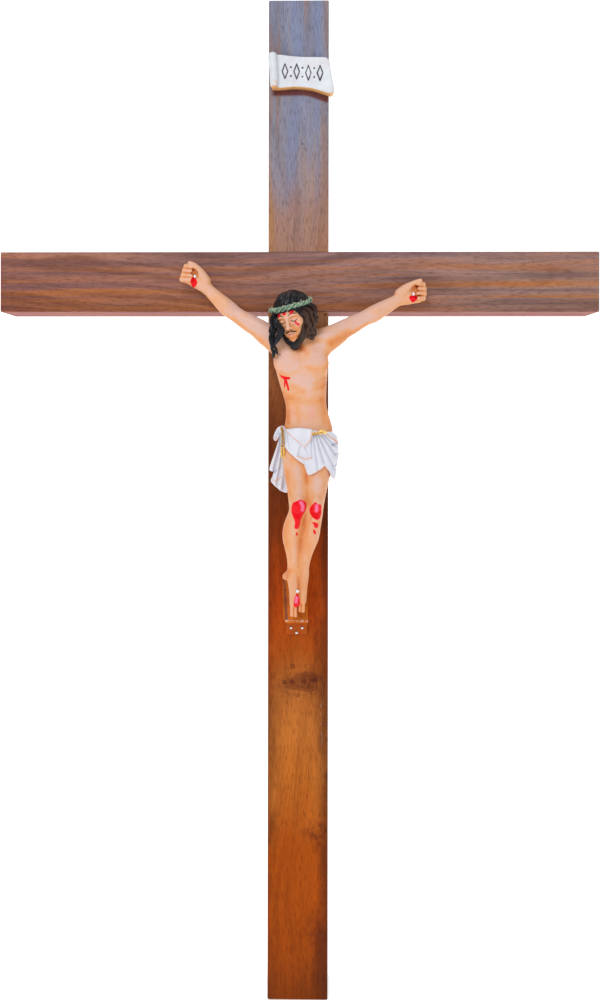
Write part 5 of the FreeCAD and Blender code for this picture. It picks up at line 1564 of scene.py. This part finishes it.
def scroll_piece():
    low, high = (-34, -38, 820), (38, -18, 870)
    f = Field(low, high, 0.5)
    p = closed(SHEET, 5)

    def sheet(x, y, z):
        # the sheet curls forward a little at its right end and dips in its middle
        face = -26.8 - 1.4 * np.clip((x - 14) / 16, 0, 1) ** 2 + 0.5 * np.cos((x + 4) / 9)
        return plate(grid_outline_gap(x, z, p), np.maximum(face - y, y - FRONT + 0.02), 1.3)

    f.add(low, high, sheet, 0.1)
    f.limb([(-21.8, -26.4, 834.6), (-22.4, -26.6, 846), (-23.4, -26.6, 859.4)],
           [4.0, 4.0, 4.3], 1.0, 0.8)
    f.clear_of_wood(0.05, 0.3)
    s = Sculpt(f)
    s.stroke([(-18.6, 861), (-18.0, 848), (-17.4, 832)], 0.9, -0.8)
    s.stroke([(-25.0, 835), (-21.0, 837.0), (-18.6, 834)], 0.7, -0.3)
    for _ in range(30):
        x, z = rng.uniform(-18, 28), rng.uniform(830, 859)
        s.stroke([(x, z), (x + rng.uniform(-5, 5), z + rng.uniform(-3, 3))],
                 rng.uniform(1.5, 3.5), rng.uniform(-0.28, 0.28))
    # a row of brush-drawn lozenges with dots between them, falling a little to the right
    row = lambda x: 845.6 - 0.06 * x
    wide, tall = 2.5, 6.8
    ink = np.zeros(len(s.v))
    for i, x in enumerate((-12.4, -1.8, 8.8, 19.4)):
        z = row(x) + 0.5 * math.sin(2 * i)
        ring = [(x, z + tall), (x + wide, z), (x, z - tall), (x - wide, z), (x, z + tall)]
        gap, _ = line_gap(s.v[:, [0, 2]], np.array(ring))
        ink = np.maximum(ink, np.clip(1.15 - gap / (0.95 + 0.2 * math.sin(3 * i)), 0, 1))
    for x in (-7.1, 3.5, 14.1):
        for dz in (-4.0, 4.0):
            d = np.hypot(s.v[:, 0] - x, s.v[:, 2] - row(x) - dz)
            ink = np.maximum(ink, np.clip(1.3 - d / 1.2, 0, 1))
    s.paint["ink"] = ink * (s.n[:, 1] < -0.4)
    # warm ochre painted shade on the undersides, the lower edge, the roll's foot, the right corner
    # and in hollows
    s.dab("ochre_shade", 1.1 * np.clip(-s.n[:, 2] - 0.35, 0, 0.6) / 0.6)
    gap = np.abs(outline_gap(s.v[:, 0], s.v[:, 2], p))
    s.dab("ochre_shade", 0.45 * np.exp(-(gap / 1.3) ** 2) * (s.v[:, 2] < 834))
    s.dab("ochre_shade", 0.7 * s.profile([(-22.5, 836.6), (-19.5, 835.4)], 1.9))
    s.dab("ochre_shade", 0.35 * s.profile([(29.0, 832), (29.5, 828)], 2.4))
    s.dab("ochre_shade", 0.3 * np.clip(s.hollows(3) * 6, 0, 1))
    s.settle()
    return s.build("scroll_cast", SCROLL)


REST_TOP, REST_FALL, REST_DEPTH = 387.6, 36.4, 18.0     # the slope's back edge, fall and run


def footrest_piece():
    low, high = (-18, -41, 332), (14, -18, 390)
    f = Field(low, high, 0.4)

    def wedge(x, y, z):
        t = np.clip((y - FRONT) / -REST_DEPTH, 0, 1)
        top = REST_TOP - REST_FALL * t
        left = -14.4 + 3.2 * t + 0 * z
        right = 8.4 + 0.8 * t + 0 * z
        d = np.maximum((z - top) * 0.44, np.maximum(left - x, x - right))
        d = np.maximum(d, np.maximum(-38.2 - y, 349.0 - z))
        return (d + 0.3).astype(np.float32) - 0.3

    def tab(x, y, z):
        d = plate(np.abs(x + 1.2) - 9.6, 334.8 - z, 2.4)
        return np.maximum(np.maximum(d, z - 350), -22.7 - y).astype(np.float32)

    f.add(low, high, wedge, 0.3)
    f.add(low, high, tab, 0.6)
    f.clear_of_wood(0.05, 0.2)
    s = Sculpt(f)
    # dark along the slope's left edge, pale specks there and a pale line along its front edge
    x, y, z = s.v.T
    up = np.clip(s.n[:, 2] * 1.4, 0, 1)
    left = np.exp(-((x + 13.2 - (y - FRONT) / -REST_DEPTH * 3.2) / 1.6) ** 2)
    front = np.exp(-((y + 37.9) / 0.9) ** 2) * np.exp(-((z - 351) / 1.2) ** 2)
    chips = np.sin(z * 1.9) * np.sin(z * 0.77 + 1) + 0.2
    front *= 0.75 + 0.25 * np.sin(x * 1.3 + 2)
    s.paint["dark"] = np.clip(up * (0.10 + 1.0 * left), 0, 1)
    s.paint["pale_marks"] = np.clip(0.75 * front + 0.6 * left * up * np.clip(chips, 0, 1), 0, 1)
    for _ in range(60):
        z = rng.uniform(352, 386)
        t = (REST_TOP - z) / REST_FALL
        y = FRONT - REST_DEPTH * t
        by_edge = rng.uniform() < 0.7
        x = rng.uniform(-13.4 + 3.2 * t, -9.6 + 3.2 * t) if by_edge else rng.uniform(-8, 8)
        line = [(x, y, z), (x + rng.uniform(-1, 1), y + 0.4, z + rng.uniform(0.8, 2.6))]
        s.lift += rng.uniform(-0.45, 0.3) * s.profile(line, 0.6)
    s.settle()
    return s.build("footrest_wedge", FOOTREST)


# ---------------------------------------------------------------- everything in its place

SCULPTED = [  # each sculpted piece, the CAD node it stands for and a slot name, which is not used
    (torso_piece(), "corpus_body", "painted_resin"),
    (legs_piece(), "corpus_body", "painted_resin"),
    (head_piece(), "corpus_body", "painted_resin"),
    (hair_piece(), "corpus_body", None),
    (loincloth_piece(), "corpus_body", None),
    (drape_piece(), "corpus_body", None),
    (cord_piece(), "corpus_body", None),
    (crown_piece(), "crown_of_thorns", "crown_paint"),
    (scroll_piece(), "titulus_scroll", "scroll_paint"),
    (footrest_piece(), "footrest", "footrest_paint"),
    (arm_piece("corpus_arm_right", (-112, -58, 586), (-26, -18, 680), RIGHT_HAND),
     "corpus_right_arm", "painted_resin"),
    (arm_piece("corpus_arm_left", (33, -58, 585), (122, -18, 664), LEFT_HAND),
     "corpus_left_arm", "painted_resin"),
]
for ob, node, slot in SCULPTED:
    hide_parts(node)

replaced = {node for _, node, _ in SCULPTED}
for name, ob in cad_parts.items():
    if name in replaced:
        continue
    if name == "upright_beam":
        look = UPRIGHT
    elif name == "crossbar_beam":
        look = CROSSBAR
    elif name.startswith(("lap", "hanger", "staff", "socket")):
        look = BRASS
    else:
        look = STEEL
    ob.data.materials.clear()
    ob.data.materials.append(look)


# ---------------------------------------------------------------- camera, light and stage

camera_data = bpy.data.cameras.new("camera")
camera = bpy.data.objects.new("camera", camera_data)
scene.collection.objects.link(camera)
camera.location = (0.0110, -0.7879, 0.5402)
camera.rotation_euler = (math.radians(90), math.radians(-0.08), math.radians(0.8))
camera_data.lens = 30.25
camera_data.shift_x = 0.00142
camera_data.shift_y = -0.091
camera_data.clip_start = 0.02
scene.camera = camera
scene.view_settings.view_transform = "Standard"

WHITE = plain("stage_white", (250, 250, 250), 0.9)
WHITE.set("Emission Color", (1, 1, 1))
WHITE.set("Emission Strength", 0.45)


def stage_sheet(name, corners):
    me = bpy.data.meshes.new(name)
    me.from_pydata(corners, [], [(0, 1, 2, 3)])
    ob = bpy.data.objects.new(name, me)
    scene.collection.objects.link(ob)
    me.materials.append(WHITE.material)


side, near, far, top = 6, -4, 5, 6
wall_y, floor_z, wall_foot = 3.0, -0.0006, -0.001
stage_sheet("floor", [(-side, near, floor_z), (side, near, floor_z), (side, far, floor_z),
                      (-side, far, floor_z)])
stage_sheet("backdrop", [(-side, wall_y, wall_foot), (side, wall_y, wall_foot),
                         (side, wall_y, top), (-side, wall_y, top)])

world = bpy.data.worlds.new("world")
scene.world = world
world.use_nodes = True
sky = world.node_tree.nodes["Background"].inputs
sky["Color"].default_value = (0.97, 0.98, 1.0, 1)
sky["Strength"].default_value = 0.62


def area_light(name, energy, size, place, aim):
    data = bpy.data.lights.new(name, "AREA")
    data.energy, data.size = energy, size
    ob = bpy.data.objects.new(name, data)
    scene.collection.objects.link(ob)
    ob.location = place
    way = Vector(place) - Vector(aim)
    ob.rotation_euler = way.to_track_quat("Z", "Y").to_euler()


area_light("key", 8.6, 0.7, (-0.35, -1.0, 1.6), (0, 0, 0.6))
area_light("fill", 5.0, 1.2, (0.6, 1.3, 1.5), (0, 0, 0.6))
